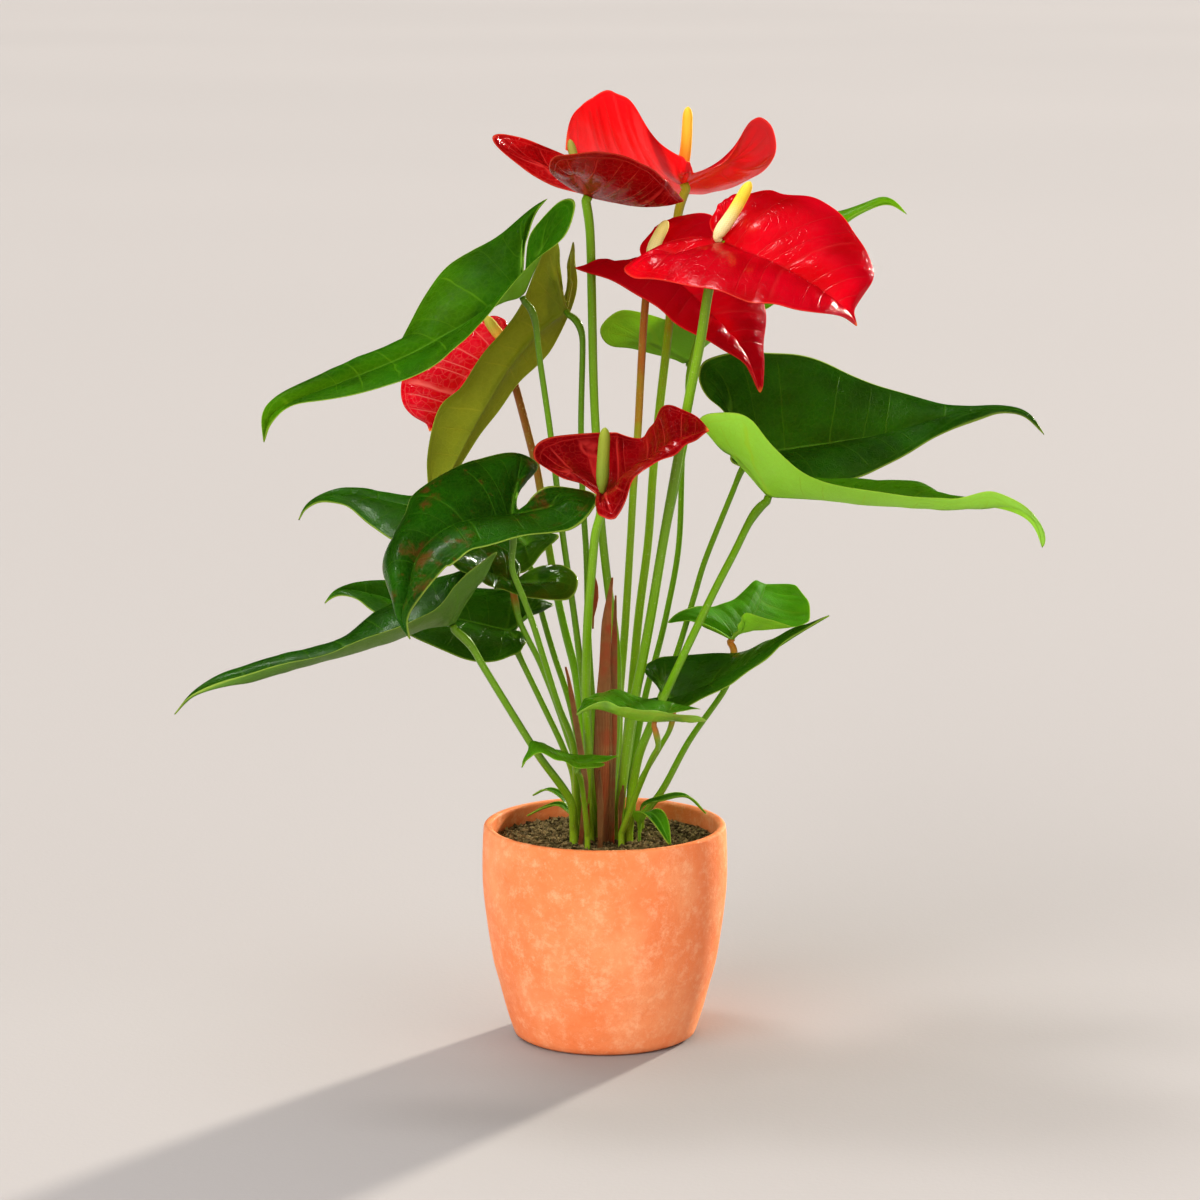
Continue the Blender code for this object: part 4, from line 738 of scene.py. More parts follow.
def build_stalk(name, shape, blade, material, knee):
    """A petiole or peduncle from the blade's underside into the soil, thicker at its knee on top."""
    place, up = blade.seat()
    top = place - up * 0.1
    neck = place - up * 3.0
    x, y = shape["foot"]
    at_top, at_middle, at_foot = shape.get("radii", STALK_RADII)
    path = smooth_line([neck] + shape["stalk"] + [(x, y, SOIL_CLEAR_LEVEL)], 200)
    for _ in range(BEND_ROUNDS):
        path[1:-1] = (path[:-2] + 2 * path[1:-1] + path[2:]) / 4
    shares = np.linspace(0, 1, STALK_STEPS) ** 1.6
    path = even_steps(path, shares)
    line = np.vstack([top, place - up * 1.4, path, (x, y, 112), (x, y, STALK_FOOT_LEVEL)])
    base = np.interp(shares, (0, 0.5, 0.93, 1), (at_top, at_middle, at_foot, at_foot))
    lengths = shares * lengths_along(path)[-1]
    swell = 1 + knee * np.exp(-((lengths - KNEE_REACH) / KNEE_REACH) ** 2)
    radii = [at_top * 1.05] * 2 + list(base * swell) + [at_foot] * 2
    verts, faces, along, around = tube_rings(line, radii, STALK_SIDES)
    marks = {"from_top": along, "to_foot": along[-1] - along, "around": around}
    return piece_from(name + "_stalk", verts, faces, material, [name], marks)


def build_spadix(name, flower, blade, material):
    """The finger-like spike, covered all over by small blunt knobs in crossing spirals."""
    place, up = blade.seat()
    line = smooth_line([place + up * 0.2, place + up * 3.6] + flower["spadix"], 60)
    length = lengths_along(line)[-1]
    rings = max(40, int(length / 0.36))
    places = np.linspace(0, length, rings)
    ends = np.clip((length - places) / 6.5, 0, 1)
    tip = np.sqrt(np.maximum(1 - (1 - ends) ** 2, 0))
    neck = np.interp(places, (0, 2, 5, 9), (0.45, 0.55, 0.85, 1.0))
    taper = 1.0 - 0.22 * places / length
    radii = flower["spadix_radius"] * np.maximum(tip, 0.05) * neck * taper
    line = even_steps(line, np.linspace(0, 1, rings))
    sides = 40
    verts, faces, along, around = tube_rings(line, radii, sides)
    a = 2 * math.pi * KNOBS * around
    b = 2 * math.pi * along / KNOB_RISE
    knob = 0.5 + 0.25 * np.cos(a + b) + 0.25 * np.cos(a - b)
    centre = np.repeat(line, sides, axis=0)
    out = verts - centre
    size = np.linalg.norm(out, axis=1, keepdims=True)
    raised = size - 0.3 + KNOB_DEPTH * knob[:, None] * np.clip(size / 2, 0, 1)
    verts = centre + out / np.maximum(size, 1e-6) * np.maximum(raised, 0.02)
    marks = {"share": along / length, "knob": knob}
    return piece_from(name + "_spike", verts, faces, material, [name], marks)


def strip_mesh(line, half_widths, lift, thickness):
    """A thin closed strip along a line, dished across; returns points, faces and measures."""
    last, across = len(line) - 1, STRIP_COLUMNS
    side = unit(np.cross(line[last] - line[0], (0, 0, 1)))
    upper, lower, along, over = [], [], [], []
    for k, (place, width) in enumerate(zip(line, half_widths)):
        ahead = line[min(k + 1, last)] - line[max(k - 1, 0)]
        up = unit(np.cross(side, ahead))
        for j in range(across + 1):
            s = 2 * j / across - 1
            point = place + side * s * width + up * lift * width * s * s
            slope = unit(side * (-2 * lift * s) + up)
            half = thickness / 2 * (1 - 0.5 * s ** 4)
            upper.append(point + slope * half)
            lower.append(point - slope * half)
            along.append(k / last)
            over.append(s)
    row, count = across + 1, len(upper)
    faces = []
    for k in range(last):
        for j in range(across):
            a = k * row + j
            faces.append((a, a + 1, a + row + 1, a + row))
            faces.append((a + count, a + row + count, a + row + 1 + count, a + 1 + count))
    ring = list(range(row)) + [k * row + across for k in range(1, last + 1)]
    ring += [last * row + j for j in range(across - 1, -1, -1)]
    ring += [k * row for k in range(last - 1, 0, -1)]
    faces += side_wall(ring, count)
    marks = {"along": along * 2, "over": over * 2, "under": [0] * count + [1] * count}
    return np.array(upper + lower), faces, marks


def build_low_leaf(name, leaf, material):
    """A small young leaf low at the crown."""
    x, y = leaf["foot"]
    line = smooth_line([(x, y, SOIL_CLEAR_LEVEL)] + leaf["mid"], 36)
    line = np.vstack([(x, y, STALK_FOOT_LEVEL), line])
    shares = np.linspace(0, 1, len(line) - 1)
    bow = np.sin(math.pi * (np.maximum(shares - 0.15, 0) / 0.85) ** 0.8)
    widths = np.maximum(LOW_LEAF_STALK + (leaf["half_width"] - LOW_LEAF_STALK) * bow, 0.35)
    widths = [LOW_LEAF_STALK, *widths]
    verts, faces, strip = strip_mesh(line, widths, 0.25, LOW_LEAF_THICKNESS)
    over = np.abs(np.array(strip["over"]))
    width = np.tile(np.repeat(widths, STRIP_COLUMNS + 1), 2)
    along = np.array(strip["along"])
    marks = {"from_rib": over * width, "from_edge": (1 - over) * width, "rib": along * 30,
             "pitch": 2.0 + 0 * along, "ahead": along, "under": strip["under"]}
    return piece_from(name + "_blade", verts, faces, material, [name], marks)


def build_sheath(name, sheath, material, nodes):
    """A dry papery sheath or scrap standing among the stalks."""
    line = smooth_line(sheath["line"][1:], 60)
    line = np.vstack([sheath["line"][0], line])
    along = np.linspace(0, 1, len(line))
    widths = np.interp(along, np.linspace(0, 1, len(sheath["half_widths"])), sheath["half_widths"])
    verts, faces, marks = strip_mesh(line, widths, -0.3, SHEATH_THICKNESS)
    return piece_from(name + "_film", verts, faces, material, nodes, marks)


def turned_rings(profile, sides):
    """Points and faces of a (radius, height) line turned about the axis, ends on the axis."""
    verts, faces, rings = [], [], []
    for radius, height in profile:
        if radius == 0:
            rings.append([len(verts)] * sides)
            verts.append((0, 0, height))
        else:
            rings.append(list(range(len(verts), len(verts) + sides)))
            for k in range(sides):
                angle = 2 * math.pi * k / sides
                verts.append((radius * math.cos(angle), radius * math.sin(angle), height))
    for low, high in zip(rings, rings[1:]):
        for k in range(sides):
            n = (k + 1) % sides
            add_ring(faces, [low[k], low[n], high[n], high[k]])
    return verts, faces


def pot_inner_radius(height):
    """Inside radius of the pot at a height."""
    return float(np.interp(height, *zip(*POT_OUTSIDE))) - POT_WALL


def build_pot(material):
    """The pot with a soft rounded lip and foot."""
    outside = smooth_line([(r, 0, z) for z, r in POT_OUTSIDE], 44)
    lip = POT_OUTSIDE[-1][1] - POT_WALL / 2
    rim = [(lip + POT_WALL / 2 * math.cos(a), POT_HEIGHT + POT_LIP_RISE * (math.sin(a) - 1))
           for a in np.linspace(0.15, math.pi - 0.15, 9)]
    inside = [(pot_inner_radius(z), z) for z in np.linspace(POT_HEIGHT - 2.5, POT_FLOOR + 5, 20)]
    floor = [(pot_inner_radius(POT_FLOOR) - 3, POT_FLOOR), (0, POT_FLOOR)]
    profile = POT_FOOT + [(r, z) for r, _, z in outside[1:]] + rim + inside + floor
    verts, faces = turned_rings(profile, POT_SIDES)
    return piece_from("pot_body", verts, faces, material, ["pot"])


def soil_height(x, y):
    """Height of the soil's surface, with low lumps."""
    base = float(np.interp(math.hypot(x, y), *zip(*SOIL_TOP)))
    lumps = math.sin(x * 0.31 + 1.3) * math.cos(y * 0.27 + 0.4) + 0.6 * math.sin(x * 0.83 + y * 0.61)
    return base - SOIL_SINK + 0.45 * lumps


def build_soil(material):
    """The soil: a lumpy top covered by crumbs, bark bits and a few straws, over a plain plug."""
    rings, sides = SOIL_RINGS, SOIL_SIDES
    reach = pot_inner_radius(SOIL_EDGE_HEIGHT) - 0.2
    verts = [(0, 0, soil_height(0, 0))]
    for k in range(1, rings + 1):
        r = reach * k / rings
        for s in range(sides):
            x, y = r * math.cos(2 * math.pi * s / sides), r * math.sin(2 * math.pi * s / sides)
            verts.append((x, y, soil_height(x, y)))
    faces = [(0, 1 + s, 1 + (s + 1) % sides) for s in range(sides)]
    for k in range(rings - 1):
        for s in range(sides):
            a, n = 1 + k * sides, (s + 1) % sides
            faces.append((a + s, a + sides + s, a + sides + n, a + n))
    top = 1 + (rings - 1) * sides
    low = len(verts)
    for s in range(sides):
        x, y, _ = verts[top + s]
        verts.append((x * 0.8, y * 0.8, POT_FLOOR + 1))
    for s in range(sides):
        n = (s + 1) % sides
        faces.append((top + s, low + s, low + n, top + n))
    faces.append(tuple(range(low + sides - 1, low - 1, -1)))
    tones = [0.3] * len(verts)
    add_crumbs(verts, faces, tones, random.Random(11), reach)
    marks = {"tone": tones}
    return piece_from("soil_crumbs", verts, faces, material, ["soil"], marks, smooth=False)


def add_crumbs(verts, faces, tones, rng, reach):
    """Small angular bits lying on the soil, mostly crumbs, some longer bark and straw."""
    for _ in range(CRUMBS):
        r = (reach - 2) * math.sqrt(rng.random())
        angle = rng.uniform(0, 2 * math.pi)
        x, y = r * math.cos(angle), r * math.sin(angle)
        kind = rng.random()
        if kind < 0.93:
            size = (rng.uniform(0.6, 2.4), rng.uniform(0.6, 2.0), rng.uniform(0.5, 1.5))
            tone = rng.uniform(0.0, 0.6)
        elif kind < 0.985:
            size = (rng.uniform(2.0, 4.0), rng.uniform(0.7, 1.3), rng.uniform(0.4, 0.8))
            tone = rng.uniform(0.3, 0.8)
        else:
            size = (rng.uniform(3.0, 7.0), rng.uniform(0.25, 0.45), rng.uniform(0.25, 0.4))
            tone = rng.uniform(0.85, 1.0)
        turn = Euler((rng.uniform(-0.5, 0.5), rng.uniform(-0.3, 0.3), rng.uniform(0, 6.28))).to_matrix()
        middle = Vector((x, y, soil_height(x, y) + size[2] * rng.uniform(0.2, 0.8)))
        first = len(verts)
        for px, py, pz in ((1, 0, 0), (-1, 0, 0), (0, 1, 0), (0, -1, 0), (0, 0, 1), (0, 0, -1)):
            jitter = rng.uniform(0.75, 1.2)
            bit = Vector((px * size[0], py * size[1], pz * size[2])) * jitter
            lean = Vector((rng.uniform(-0.3, 0.3) * size[0], rng.uniform(-0.3, 0.3) * size[1], 0))
            bit += lean * (1 - abs(px))
            verts.append(tuple(middle + turn @ bit))
            tones.append(tone)
        for a in (0, 1):
            for b, c in ((2, 4), (4, 3), (3, 5), (5, 2)):
                ring = (first + a, first + b, first + c)
                faces.append(ring if a == 0 else ring[::-1])


class Tree:
    """Short-hand for building one material's node tree."""

    def __init__(self, name):
        self.material = bpy.data.materials.new(name)
        self.material.use_nodes = True
        self.tree = self.material.node_tree
        self.tree.nodes.clear()
        self.place = self.node("ShaderNodeTexCoord").outputs["Object"]

    def node(self, kind, **settings):
        """A new node with its settings."""
        node = self.tree.nodes.new(kind)
        for key, value in settings.items():
            setattr(node, key, value)
        return node

    def put(self, socket, value):
        """A link where the value comes from a node, otherwise a set value."""
        if isinstance(value, bpy.types.NodeSocket):
            self.tree.links.new(value, socket)
        elif isinstance(value, tuple) and len(value) == 3 and socket.type == "RGBA":
            socket.default_value = (*value, 1)
        else:
            socket.default_value = value

    def mark(self, name):
        """A measure kept on the mesh's points."""
        return self.node("ShaderNodeAttribute", attribute_name=name).outputs["Fac"]

    def math(self, operation, a, b=0.0):
        """One step of arithmetic."""
        node = self.node("ShaderNodeMath", operation=operation)
        self.put(node.inputs[0], a)
        self.put(node.inputs[1], b)
        return node.outputs[0]

    def times(self, a, b):
        return self.math("MULTIPLY", a, b)

    def plus(self, a, b):
        return self.math("ADD", a, b)

    def minus(self, a, b):
        return self.math("SUBTRACT", a, b)

    def larger(self, a, b):
        return self.math("MAXIMUM", a, b)

    def span(self, value, low, high, start=0.0, end=1.0):
        """The value eased from low..high to start..end, held at both ends."""
        node = self.node("ShaderNodeMapRange", interpolation_type="SMOOTHSTEP")
        for socket, number in zip(node.inputs, (value, low, high, start, end)):
            self.put(socket, number)
        return node.outputs[0]

    def noise(self, scale, detail=3.0, roughness=0.5):
        """Fine uneven pattern; scale is in waves per metre."""
        node = self.node("ShaderNodeTexNoise")
        self.put(node.inputs["Vector"], self.place)
        self.put(node.inputs["Scale"], float(scale))
        self.put(node.inputs["Detail"], detail)
        self.put(node.inputs["Roughness"], roughness)
        return node.outputs["Fac"]

    def cells(self, scale):
        """Distance to the borders of uneven cells; scale is in cells per metre."""
        node = self.node("ShaderNodeTexVoronoi", feature="DISTANCE_TO_EDGE")
        warp = self.node("ShaderNodeTexNoise")
        self.put(warp.inputs["Vector"], self.place)
        self.put(warp.inputs["Scale"], scale * 0.6)
        shift = self.node("ShaderNodeVectorMath", operation="SCALE")
        self.put(shift.inputs[0], warp.outputs["Color"])
        self.put(shift.inputs["Scale"], 0.9 / scale)
        moved = self.node("ShaderNodeVectorMath", operation="ADD")
        self.put(moved.inputs[0], self.place)
        self.put(moved.inputs[1], shift.outputs[0])
        self.put(node.inputs["Vector"], moved.outputs[0])
        self.put(node.inputs["Scale"], float(scale))
        return node.outputs["Distance"]

    def mix(self, share, a, b):
        """Colour a turned into colour b by the share."""
        node = self.node("ShaderNodeMix", data_type="RGBA")
        self.put(node.inputs["Factor"], share)
        self.put(node.inputs["A"], a)
        self.put(node.inputs["B"], b)
        return node.outputs["Result"]

    def bump(self, height, distance, strength=1.0):
        """Fine relief of the given depth in metres."""
        node = self.node("ShaderNodeBump")
        self.put(node.inputs["Height"], height)
        self.put(node.inputs["Distance"], distance)
        self.put(node.inputs["Strength"], strength)
        return node.outputs["Normal"]

    def surface(self, colour, roughness, normal, coat=0.0, specular=0.5):
        """The opaque part of the finish."""
        shader = self.node("ShaderNodeBsdfPrincipled")
        self.put(shader.inputs["Base Color"], colour)
        self.put(shader.inputs["Roughness"], roughness)
        self.put(shader.inputs["Specular IOR Level"], specular)
        self.put(shader.inputs["Coat Weight"], coat)
        self.put(shader.inputs["Coat Roughness"], 0.12)
        self.put(shader.inputs["Normal"], normal)
        return shader.outputs[0]

    def through(self, shader, share, colour):
        """Lets a share of the light through, tinted."""
        glow = self.node("ShaderNodeBsdfTranslucent")
        self.put(glow.inputs["Color"], colour)
        blend = self.node("ShaderNodeMixShader")
        self.put(blend.inputs[0], share)
        self.put(blend.inputs[1], shader)
        self.put(blend.inputs[2], glow.outputs[0])
        return blend.outputs[0]

    def done(self, shader):
        """The finished material."""
        self.put(self.node("ShaderNodeOutputMaterial").inputs["Surface"], shader)
        return self.material


def vein_masks(tree):
    """Side veins, midrib, edge vein and rim of a blade, each from 0 to 1."""
    wobble = tree.times(tree.minus(tree.noise(90, 2), 0.5), 0.12)
    steps = tree.plus(tree.mark("vein"), wobble)
    nearest = tree.minus(tree.math("FRACT", tree.plus(steps, 0.5)), 0.5)
    apart = tree.math("ABSOLUTE", nearest)
    apart = tree.times(apart, tree.times(tree.mark("pitch"), VEIN_RIBS))
    veins = tree.span(apart, 0.1, 0.85, 1.0, 0.0)
    fade = tree.span(tree.mark("from_edge"), 1.0, 9.0, 0.1, 1.0)
    veins = tree.times(veins, fade)
    width = tree.times(tree.minus(1.15, tree.mark("ahead")), 1.5)
    midrib = tree.span(tree.math("DIVIDE", tree.mark("from_rib"), width), 0.25, 1.0, 1.0, 0.0)
    off = tree.math("ABSOLUTE", tree.minus(tree.mark("from_edge"), 3.0))
    edge_vein = tree.times(tree.span(off, 0.05, 0.5, 1.0, 0.0), 0.6)
    rim = tree.span(tree.mark("from_edge"), 0.15, 0.8, 1.0, 0.0)
    return veins, midrib, edge_vein, rim


def leaf_finish(name, dark, light, under, vein, glow, share, roughness=0.3, coat=0.08,
                gloss=0.24, lined=0.24, blotch=0.0):
    """A leathery leaf: glossy above with paler veins, matter and paler below, glowing against light."""
    tree = Tree(name)
    veins, midrib, edge_vein, rim = vein_masks(tree)
    net = tree.span(tree.cells(330), 0.02, 0.14, 1.0, 0.0)
    fine = tree.span(tree.cells(1100), 0.02, 0.2, 1.0, 0.0)
    lines = tree.larger(veins, tree.larger(edge_vein, tree.times(net, 0.35)))
    cloud = tree.span(tree.noise(38, 4, 0.6), 0.3, 0.72)
    top = tree.mix(cloud, dark, light)
    top = tree.mix(tree.times(lines, lined), top, vein)
    top = tree.mix(tree.times(fine, 0.1), top, vein)
    top = tree.mix(tree.times(midrib, 0.7), top, vein)
    if blotch:
        streak = tree.span(tree.noise(60, 5, 0.7), 0.54, 0.66)
        top = tree.mix(tree.times(streak, blotch), top, BLOTCH_BROWN)
    below = tree.mix(cloud, under, tuple(c * 1.2 for c in under))
    below = tree.mix(tree.times(tree.larger(lines, midrib), 0.55), below, vein)
    colour = tree.mix(tree.mark("under"), top, below)
    colour = tree.mix(tree.times(rim, 0.55), colour, RIM_GREEN)
    shine = tree.span(tree.noise(160, 4), 0.3, 0.7, roughness - 0.06, roughness + 0.08)
    shine = tree.plus(shine, tree.times(tree.mark("under"), 0.2))
    height = tree.minus(tree.times(tree.noise(700, 3), 0.25), lines)
    height = tree.minus(height, tree.times(fine, 0.15))
    skin = tree.surface(colour, shine, tree.bump(height, 0.0003), coat=coat, specular=gloss)
    lit = tree.mix(tree.times(lines, 0.6), glow, tuple(min(1.0, c * 1.5 + 0.04) for c in glow))
    lit = tree.mix(midrib, lit, MIDRIB_GLOW)
    return tree.done(tree.through(skin, share, lit))


def spathe_finish(name, deep, bright, glow, share, net, gloss, line):
    """A waxy lacquered red spathe with radiating sunken veins drawn in a paler pink that is partly
    painted highlight, and a yellowish drip tip.
    """
    tree = Tree(name)
    veins, midrib, edge_vein, rim = vein_masks(tree)
    mesh = tree.span(tree.cells(260), 0.01, 0.1, 1.0, 0.0)
    lines = tree.larger(veins, tree.larger(edge_vein, tree.times(mesh, 0.3)))
    cloud = tree.span(tree.noise(30, 3, 0.5), 0.25, 0.75)
    base = tree.mix(cloud, deep, bright)
    # paler pink vein lines: partly the veins' own tone, partly painted highlight along them
    colour = tree.mix(tree.times(lines, net), base, line)
    below = tree.times(tree.larger(lines, midrib), 0.2 + net)
    below = tree.mix(below, base, line)
    colour = tree.mix(tree.mark("under"), colour, below)
    end = tree.span(tree.mark("ahead"), 0.955, 0.995)
    colour = tree.mix(end, colour, TIP_YELLOW)
    colour = tree.mix(tree.times(rim, 0.35), colour, RIM_RED)
    shine = tree.span(tree.noise(140, 3), 0.3, 0.7, 0.15, 0.24)
    height = tree.minus(tree.times(tree.noise(60, 2), 1.2), lines)
    skin = tree.surface(colour, shine, tree.bump(height, 0.0004, 0.6), coat=0.06, specular=gloss)
    lit = tree.mix(tree.times(lines, 0.5), glow, tuple(c * 0.6 for c in glow))
    return tree.done(tree.through(skin, share, lit))


def stalk_finish(name, top, middle, foot, reach):
    """A smooth fibrous stalk: one tone below the blade, another along it, paler near the soil."""
    tree = Tree(name)
    start = tree.mark("from_top")
    end = tree.mark("to_foot")
    wander = tree.times(tree.minus(tree.noise(60, 3), 0.5), reach)
    colour = tree.mix(tree.span(tree.plus(start, wander), 0.35 * reach, reach), top, middle)
    colour = tree.mix(tree.span(end, 12.0, 70.0), foot, colour)
    grain = tree.math("SINE", tree.times(tree.mark("around"), 2 * math.pi * 14))
    grain = tree.plus(tree.times(grain, 0.35), tree.noise(420, 3))
    colour = tree.mix(tree.span(grain, 0.2, 1.0, 0.0, 0.25), colour, tuple(c * 0.55 for c in middle))
    specks = tree.span(tree.noise(900, 2), 0.62, 0.7)
    colour = tree.mix(tree.times(specks, 0.4), colour, SPECK_GREEN)
    shine = tree.span(tree.noise(200, 2), 0.3, 0.7, 0.28, 0.42)
    skin = tree.surface(colour, shine, tree.bump(grain, 0.00008), coat=0.15)
    return tree.done(skin)


def spadix_finish(name, low, high, painted_knob_shade):
    """Tiny blunt flowers packed in spirals, with painted shade between them."""
    tree = Tree(name)
    share = tree.mark("share")
    wander = tree.times(tree.minus(tree.noise(150, 2), 0.5), 0.25)
    colour = tree.mix(tree.span(tree.plus(share, wander), 0.25, 0.75), low, high)
    knob = tree.mark("knob")
    # painted shade in the hollows between the knobs
    colour = tree.mix(tree.span(knob, 0.05, 0.5, 0.85, 0.0), colour, painted_knob_shade)
    dot = tree.span(knob, 0.86, 0.98, 0.0, 0.35)
    colour = tree.mix(dot, colour, tuple(min(1.0, c * 1.15 + 0.06) for c in high))
    shine = tree.span(tree.noise(500, 2), 0.3, 0.7, 0.4, 0.6)
    skin = tree.surface(colour, shine, tree.bump(tree.noise(1500, 2), 0.00006))
    return tree.done(tree.through(skin, 0.2, tuple(min(1.0, c * 1.1) for c in high)))


def sheath_finish():
    """Dry papery brown, red-brown in places, with long fibres and a slightly paler tip."""
    tree = Tree("papery sheath")
    fibres = tree.math("SINE", tree.plus(tree.times(tree.mark("over"), 34.0),
                                         tree.times(tree.noise(120, 3), 6.0)))
    tone = tree.plus(tree.times(fibres, 0.25), tree.noise(90, 5, 0.65))
    colour = tree.mix(tree.span(tone, 0.25, 0.8), (0.17, 0.07, 0.022), (0.48, 0.29, 0.12))
    colour = tree.mix(tree.span(tree.noise(45, 3), 0.5, 0.62, 0.0, 0.7), colour, (0.34, 0.045, 0.02))
    foot = tree.mix(0.35, colour, (0.28, 0.16, 0.06))
    colour = tree.mix(tree.span(tree.mark("along"), 0.3, 1.0), foot, colour)
    skin = tree.surface(colour, 0.62, tree.bump(tone, 0.0003))
    return tree.done(tree.through(skin, 0.25, (0.75, 0.16, 0.06)))


def pot_finish():
    """Sun-warm matt clay: cloudy peach patches, fine grit and a few worn specks."""
    tree = Tree("warm terracotta")
    cloud = tree.span(tree.noise(24, 6, 0.62), 0.36, 0.68)
    patches = tree.span(tree.noise(105, 9, 0.85), 0.47, 0.66)
    grit = tree.noise(900, 4, 0.7)
    colour = tree.mix(cloud, (0.80, 0.225, 0.078), (0.84, 0.31, 0.135))
    colour = tree.mix(tree.times(patches, 0.62), colour, (0.89, 0.46, 0.27))
    worn = tree.span(tree.noise(260, 5, 0.75), 0.6, 0.72, 0.0, 0.35)
    colour = tree.mix(worn, colour, (0.91, 0.54, 0.34))
    colour = tree.mix(tree.span(grit, 0.62, 0.75, 0.0, 0.4), colour, (0.68, 0.16, 0.05))
    height = tree.plus(tree.times(grit, 0.5), tree.noise(240, 5, 0.6))
    height = tree.plus(height, tree.times(tree.noise(50, 3), 0.8))
    shine = tree.span(tree.noise(150, 4), 0.3, 0.7, 0.5, 0.72)
    return tree.done(tree.surface(colour, shine, tree.bump(height, 0.0005, 0.8)))


def soil_finish():
    """Dark moist peat with brown crumbs, bark and pale straw."""
    tree = Tree("peat and bark")
    tone = tree.mark("tone")
    grain = tree.noise(1300, 4, 0.7)
    colour = tree.mix(tree.span(tone, 0.0, 0.6), (0.06, 0.042, 0.018), (0.33, 0.25, 0.12))
    colour = tree.mix(tree.span(tone, 0.6, 0.85), colour, (0.27, 0.17, 0.075))
    colour = tree.mix(tree.span(tone, 0.84, 0.95), colour, (0.58, 0.45, 0.24))
    colour = tree.mix(tree.span(grain, 0.35, 0.75, 0.0, 0.55), colour, (0.06, 0.042, 0.02))
    colour = tree.mix(tree.span(tree.noise(420, 3), 0.6, 0.75, 0.0, 0.5), colour, (0.24, 0.18, 0.09))
    return tree.done(tree.surface(colour, 0.85, tree.bump(grain, 0.0005), specular=0.3))


def ground_finish(name, low, high):
    """Pale seamless paper with a hardly visible tooth."""
    tree = Tree(name)
    colour = tree.mix(tree.span(tree.noise(0.3, 1), 0.3, 0.7), low, high)
    return tree.done(tree.surface(colour, 0.9, tree.bump(tree.noise(350, 3), 0.0001), specular=0.1))


def build_pieces():
    """Every visible piece of the plant, each in place of its solid."""
    build_pot(pot_finish())
    build_soil(soil_finish())
    build_leaves()
    build_flowers()
    sheath = sheath_finish()
    for name, leaf in LOW_LEAVES.items():
        build_low_leaf(name, leaf, leaf_finish(name + " green", **LEAF_LOOKS["low_leaf"]))
    for name, strip in SHEATHS.items():
        build_sheath(name, strip, sheath, [name])
    for name, strip in SCRAPS.items():
        build_sheath(name, strip, sheath, [])


def blade_piece(name, blade, material, ridge, quilt):
    """The blade's fine closed mesh, smoothed by one subdivision."""
    verts, faces, marks = blade.solid(ridge, quilt)
    thing = piece_from(name + "_blade", verts, faces, material, [name], marks)
    smooth = thing.modifiers.new("smooth", "SUBSURF")
    smooth.levels = smooth.render_levels = 1


def build_leaves():
    """Blades and petioles."""
    stalks = {kind: stalk_finish(kind + " petiole", *look) for kind, look in PETIOLE_LOOKS.items()}
    for number, (name, shape) in enumerate(LEAVES.items()):
        blade = Blade(shape, seed=number)
        look = dict(LEAF_LOOKS["common"], **LEAF_LOOKS.get(name, {}))
        blade_piece(name, blade, leaf_finish(name + " green", **look), ridge=0.85, quilt=0.55)
        kind = "brown" if name in BROWN_TOPPED else "green"
        build_stalk("petiole" + name[4:], shape, blade, stalks[kind], knee=0.28)


def build_flowers():
    """Spathes, peduncles and spadices."""
    for number, (name, shape) in enumerate(FLOWERS.items()):
        blade = Blade(shape, seed=40 + number)
        stem, spike = "peduncle" + name[6:], "spadix" + name[6:]
        look = dict(SPATHE_LOOKS["common"], **SPATHE_LOOKS.get(name, {}))
        blade_piece(name, blade, spathe_finish(name + " red", **look), ridge=0.6, quilt=1.4)
        stalk_look = PEDUNCLE_LOOKS.get(name, PEDUNCLE_LOOKS["common"])
        stalk = stalk_finish(stem + " stalk", *stalk_look)
        build_stalk(stem, shape, blade, stalk, knee=0.05)
        build_spadix(spike, shape, blade, spadix_finish(spike + " spike", *SPADIX_LOOKS[name]))


def build_stage():
    """A wide pale floor."""
    corners = [(FLOOR_REACH * x, FLOOR_REACH * y, 0) for x, y in ((-1, -1), (1, -1), (1, 1), (-1, 1))]
    mesh = bpy.data.meshes.new("pale_floor")
    mesh.from_pydata(corners, [], [(0, 1, 2, 3)])
    mesh.materials.append(ground_finish("pale paper", (0.318, 0.304, 0.300), (0.326, 0.311, 0.307)))
    ground = bpy.data.objects.new("pale_floor", mesh)
    bpy.context.scene.collection.objects.link(ground)


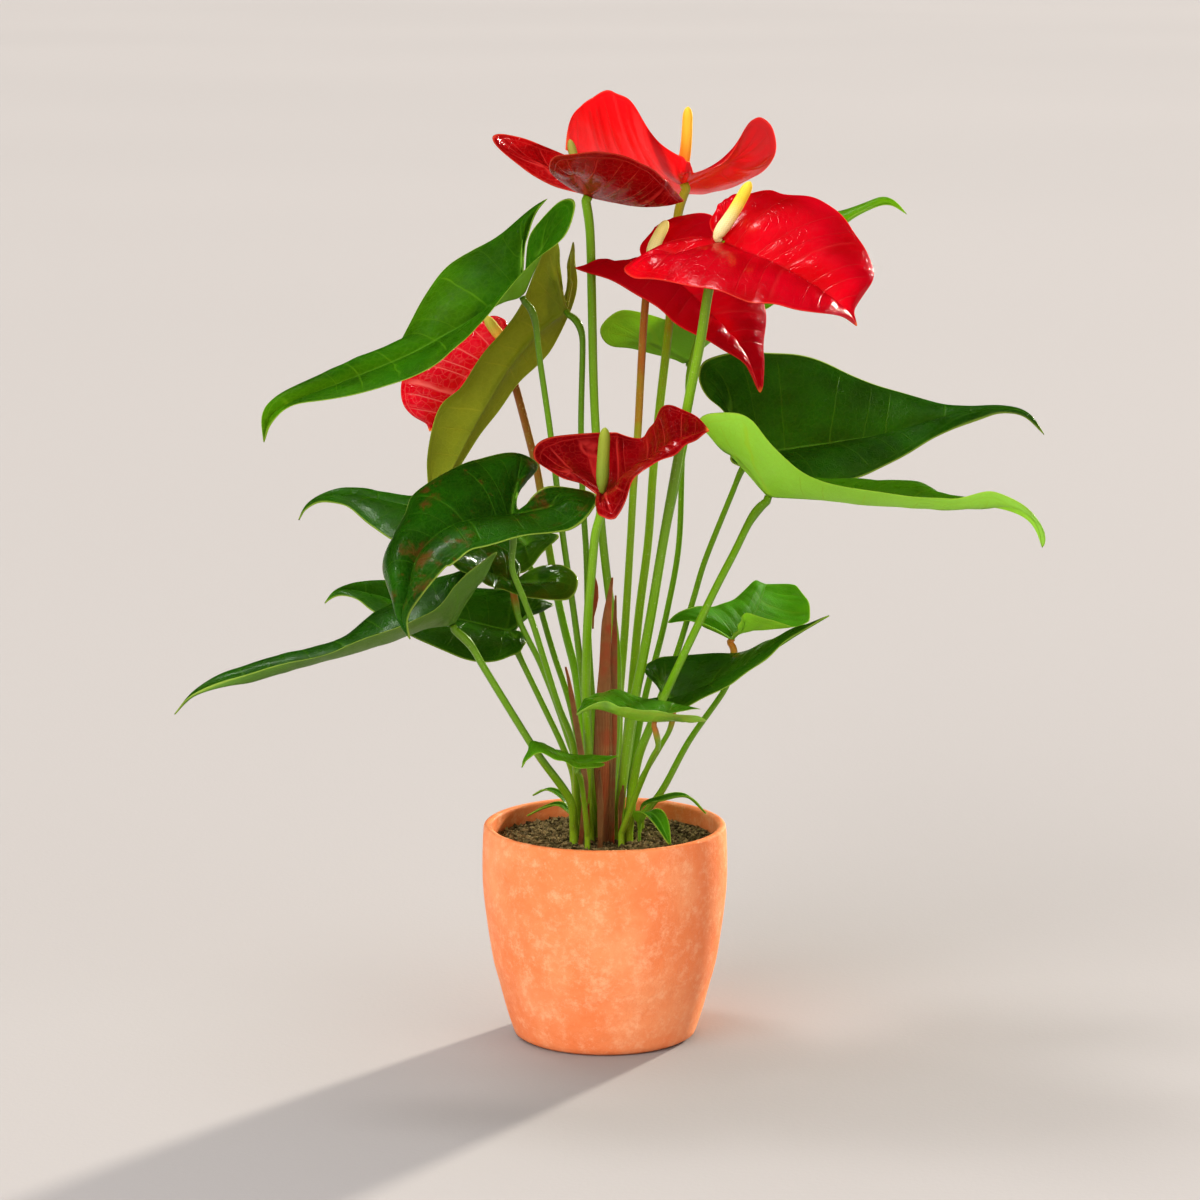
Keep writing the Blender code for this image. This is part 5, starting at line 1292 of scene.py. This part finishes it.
def add_sun(name, way, strength, spread, colour, mirrored=True):
    """An even light that travels along `way`; spread is its apparent size in degrees."""
    data = bpy.data.lights.new(name, "SUN")
    data.energy, data.angle, data.color = strength, math.radians(spread), colour
    light = bpy.data.objects.new(name, data)
    light.visible_glossy = mirrored
    light.rotation_euler = Vector(way).to_track_quat("-Z", "Y").to_euler()
    bpy.context.scene.collection.objects.link(light)


def build_lights():
    """A warm low key from behind on the right, broad soft light from the front left and above."""
    add_sun("key", KEY_WAY, 6.6, 4, (1.0, 0.93, 0.80), mirrored=False)
    add_sun("glint", KEY_WAY, 1.1, 5, (1.0, 0.95, 0.86))
    add_sun("fill", (0.52, 0.80, -0.42), 2.6, 50, (1.0, 0.97, 0.95), mirrored=False)
    add_sun("top", (0.25, -0.1, -1.0), 1.5, 80, (1.0, 0.98, 0.97), mirrored=False)
    add_sun("side", (-0.7, 0.55, -0.3), 0.85, 50, (1.0, 0.96, 0.93), mirrored=False)
    add_sun("gleam", (0.33, -0.22, -0.9), 0.8, 14, (1.0, 0.98, 0.96))
    world = bpy.data.worlds.new("surroundings")
    world.use_nodes = True
    sky = world.node_tree.nodes["Background"]
    sky.inputs["Color"].default_value = (1.0, 0.96, 0.93, 1)
    sky.inputs["Strength"].default_value = 0.33
    world.cycles_visibility.glossy = False
    bpy.context.scene.world = world


def build_camera():
    """The photograph's camera."""
    data = bpy.data.cameras.new("camera")
    data.lens, data.sensor_width = CAMERA_LENS, 36
    data.clip_end = 50
    camera = bpy.data.objects.new("camera", data)
    camera.location = Vector(CAMERA_PLACE) * MM
    camera.rotation_euler = (math.radians(90 - CAMERA_PITCH), 0, 0)
    bpy.context.scene.collection.objects.link(camera)
    bpy.context.scene.camera = camera


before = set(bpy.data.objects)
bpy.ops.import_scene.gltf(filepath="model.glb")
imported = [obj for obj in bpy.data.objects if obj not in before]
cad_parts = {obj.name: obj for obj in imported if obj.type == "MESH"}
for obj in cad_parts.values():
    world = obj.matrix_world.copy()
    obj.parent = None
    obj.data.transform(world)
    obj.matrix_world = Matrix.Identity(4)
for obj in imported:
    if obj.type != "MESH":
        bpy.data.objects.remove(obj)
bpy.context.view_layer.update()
build_camera()
build_pieces()
build_stage()
build_lights()
bpy.context.scene.view_settings.view_transform = "Standard"
bpy.context.scene.view_settings.look = "Medium High Contrast"
bpy.context.view_layer.update()
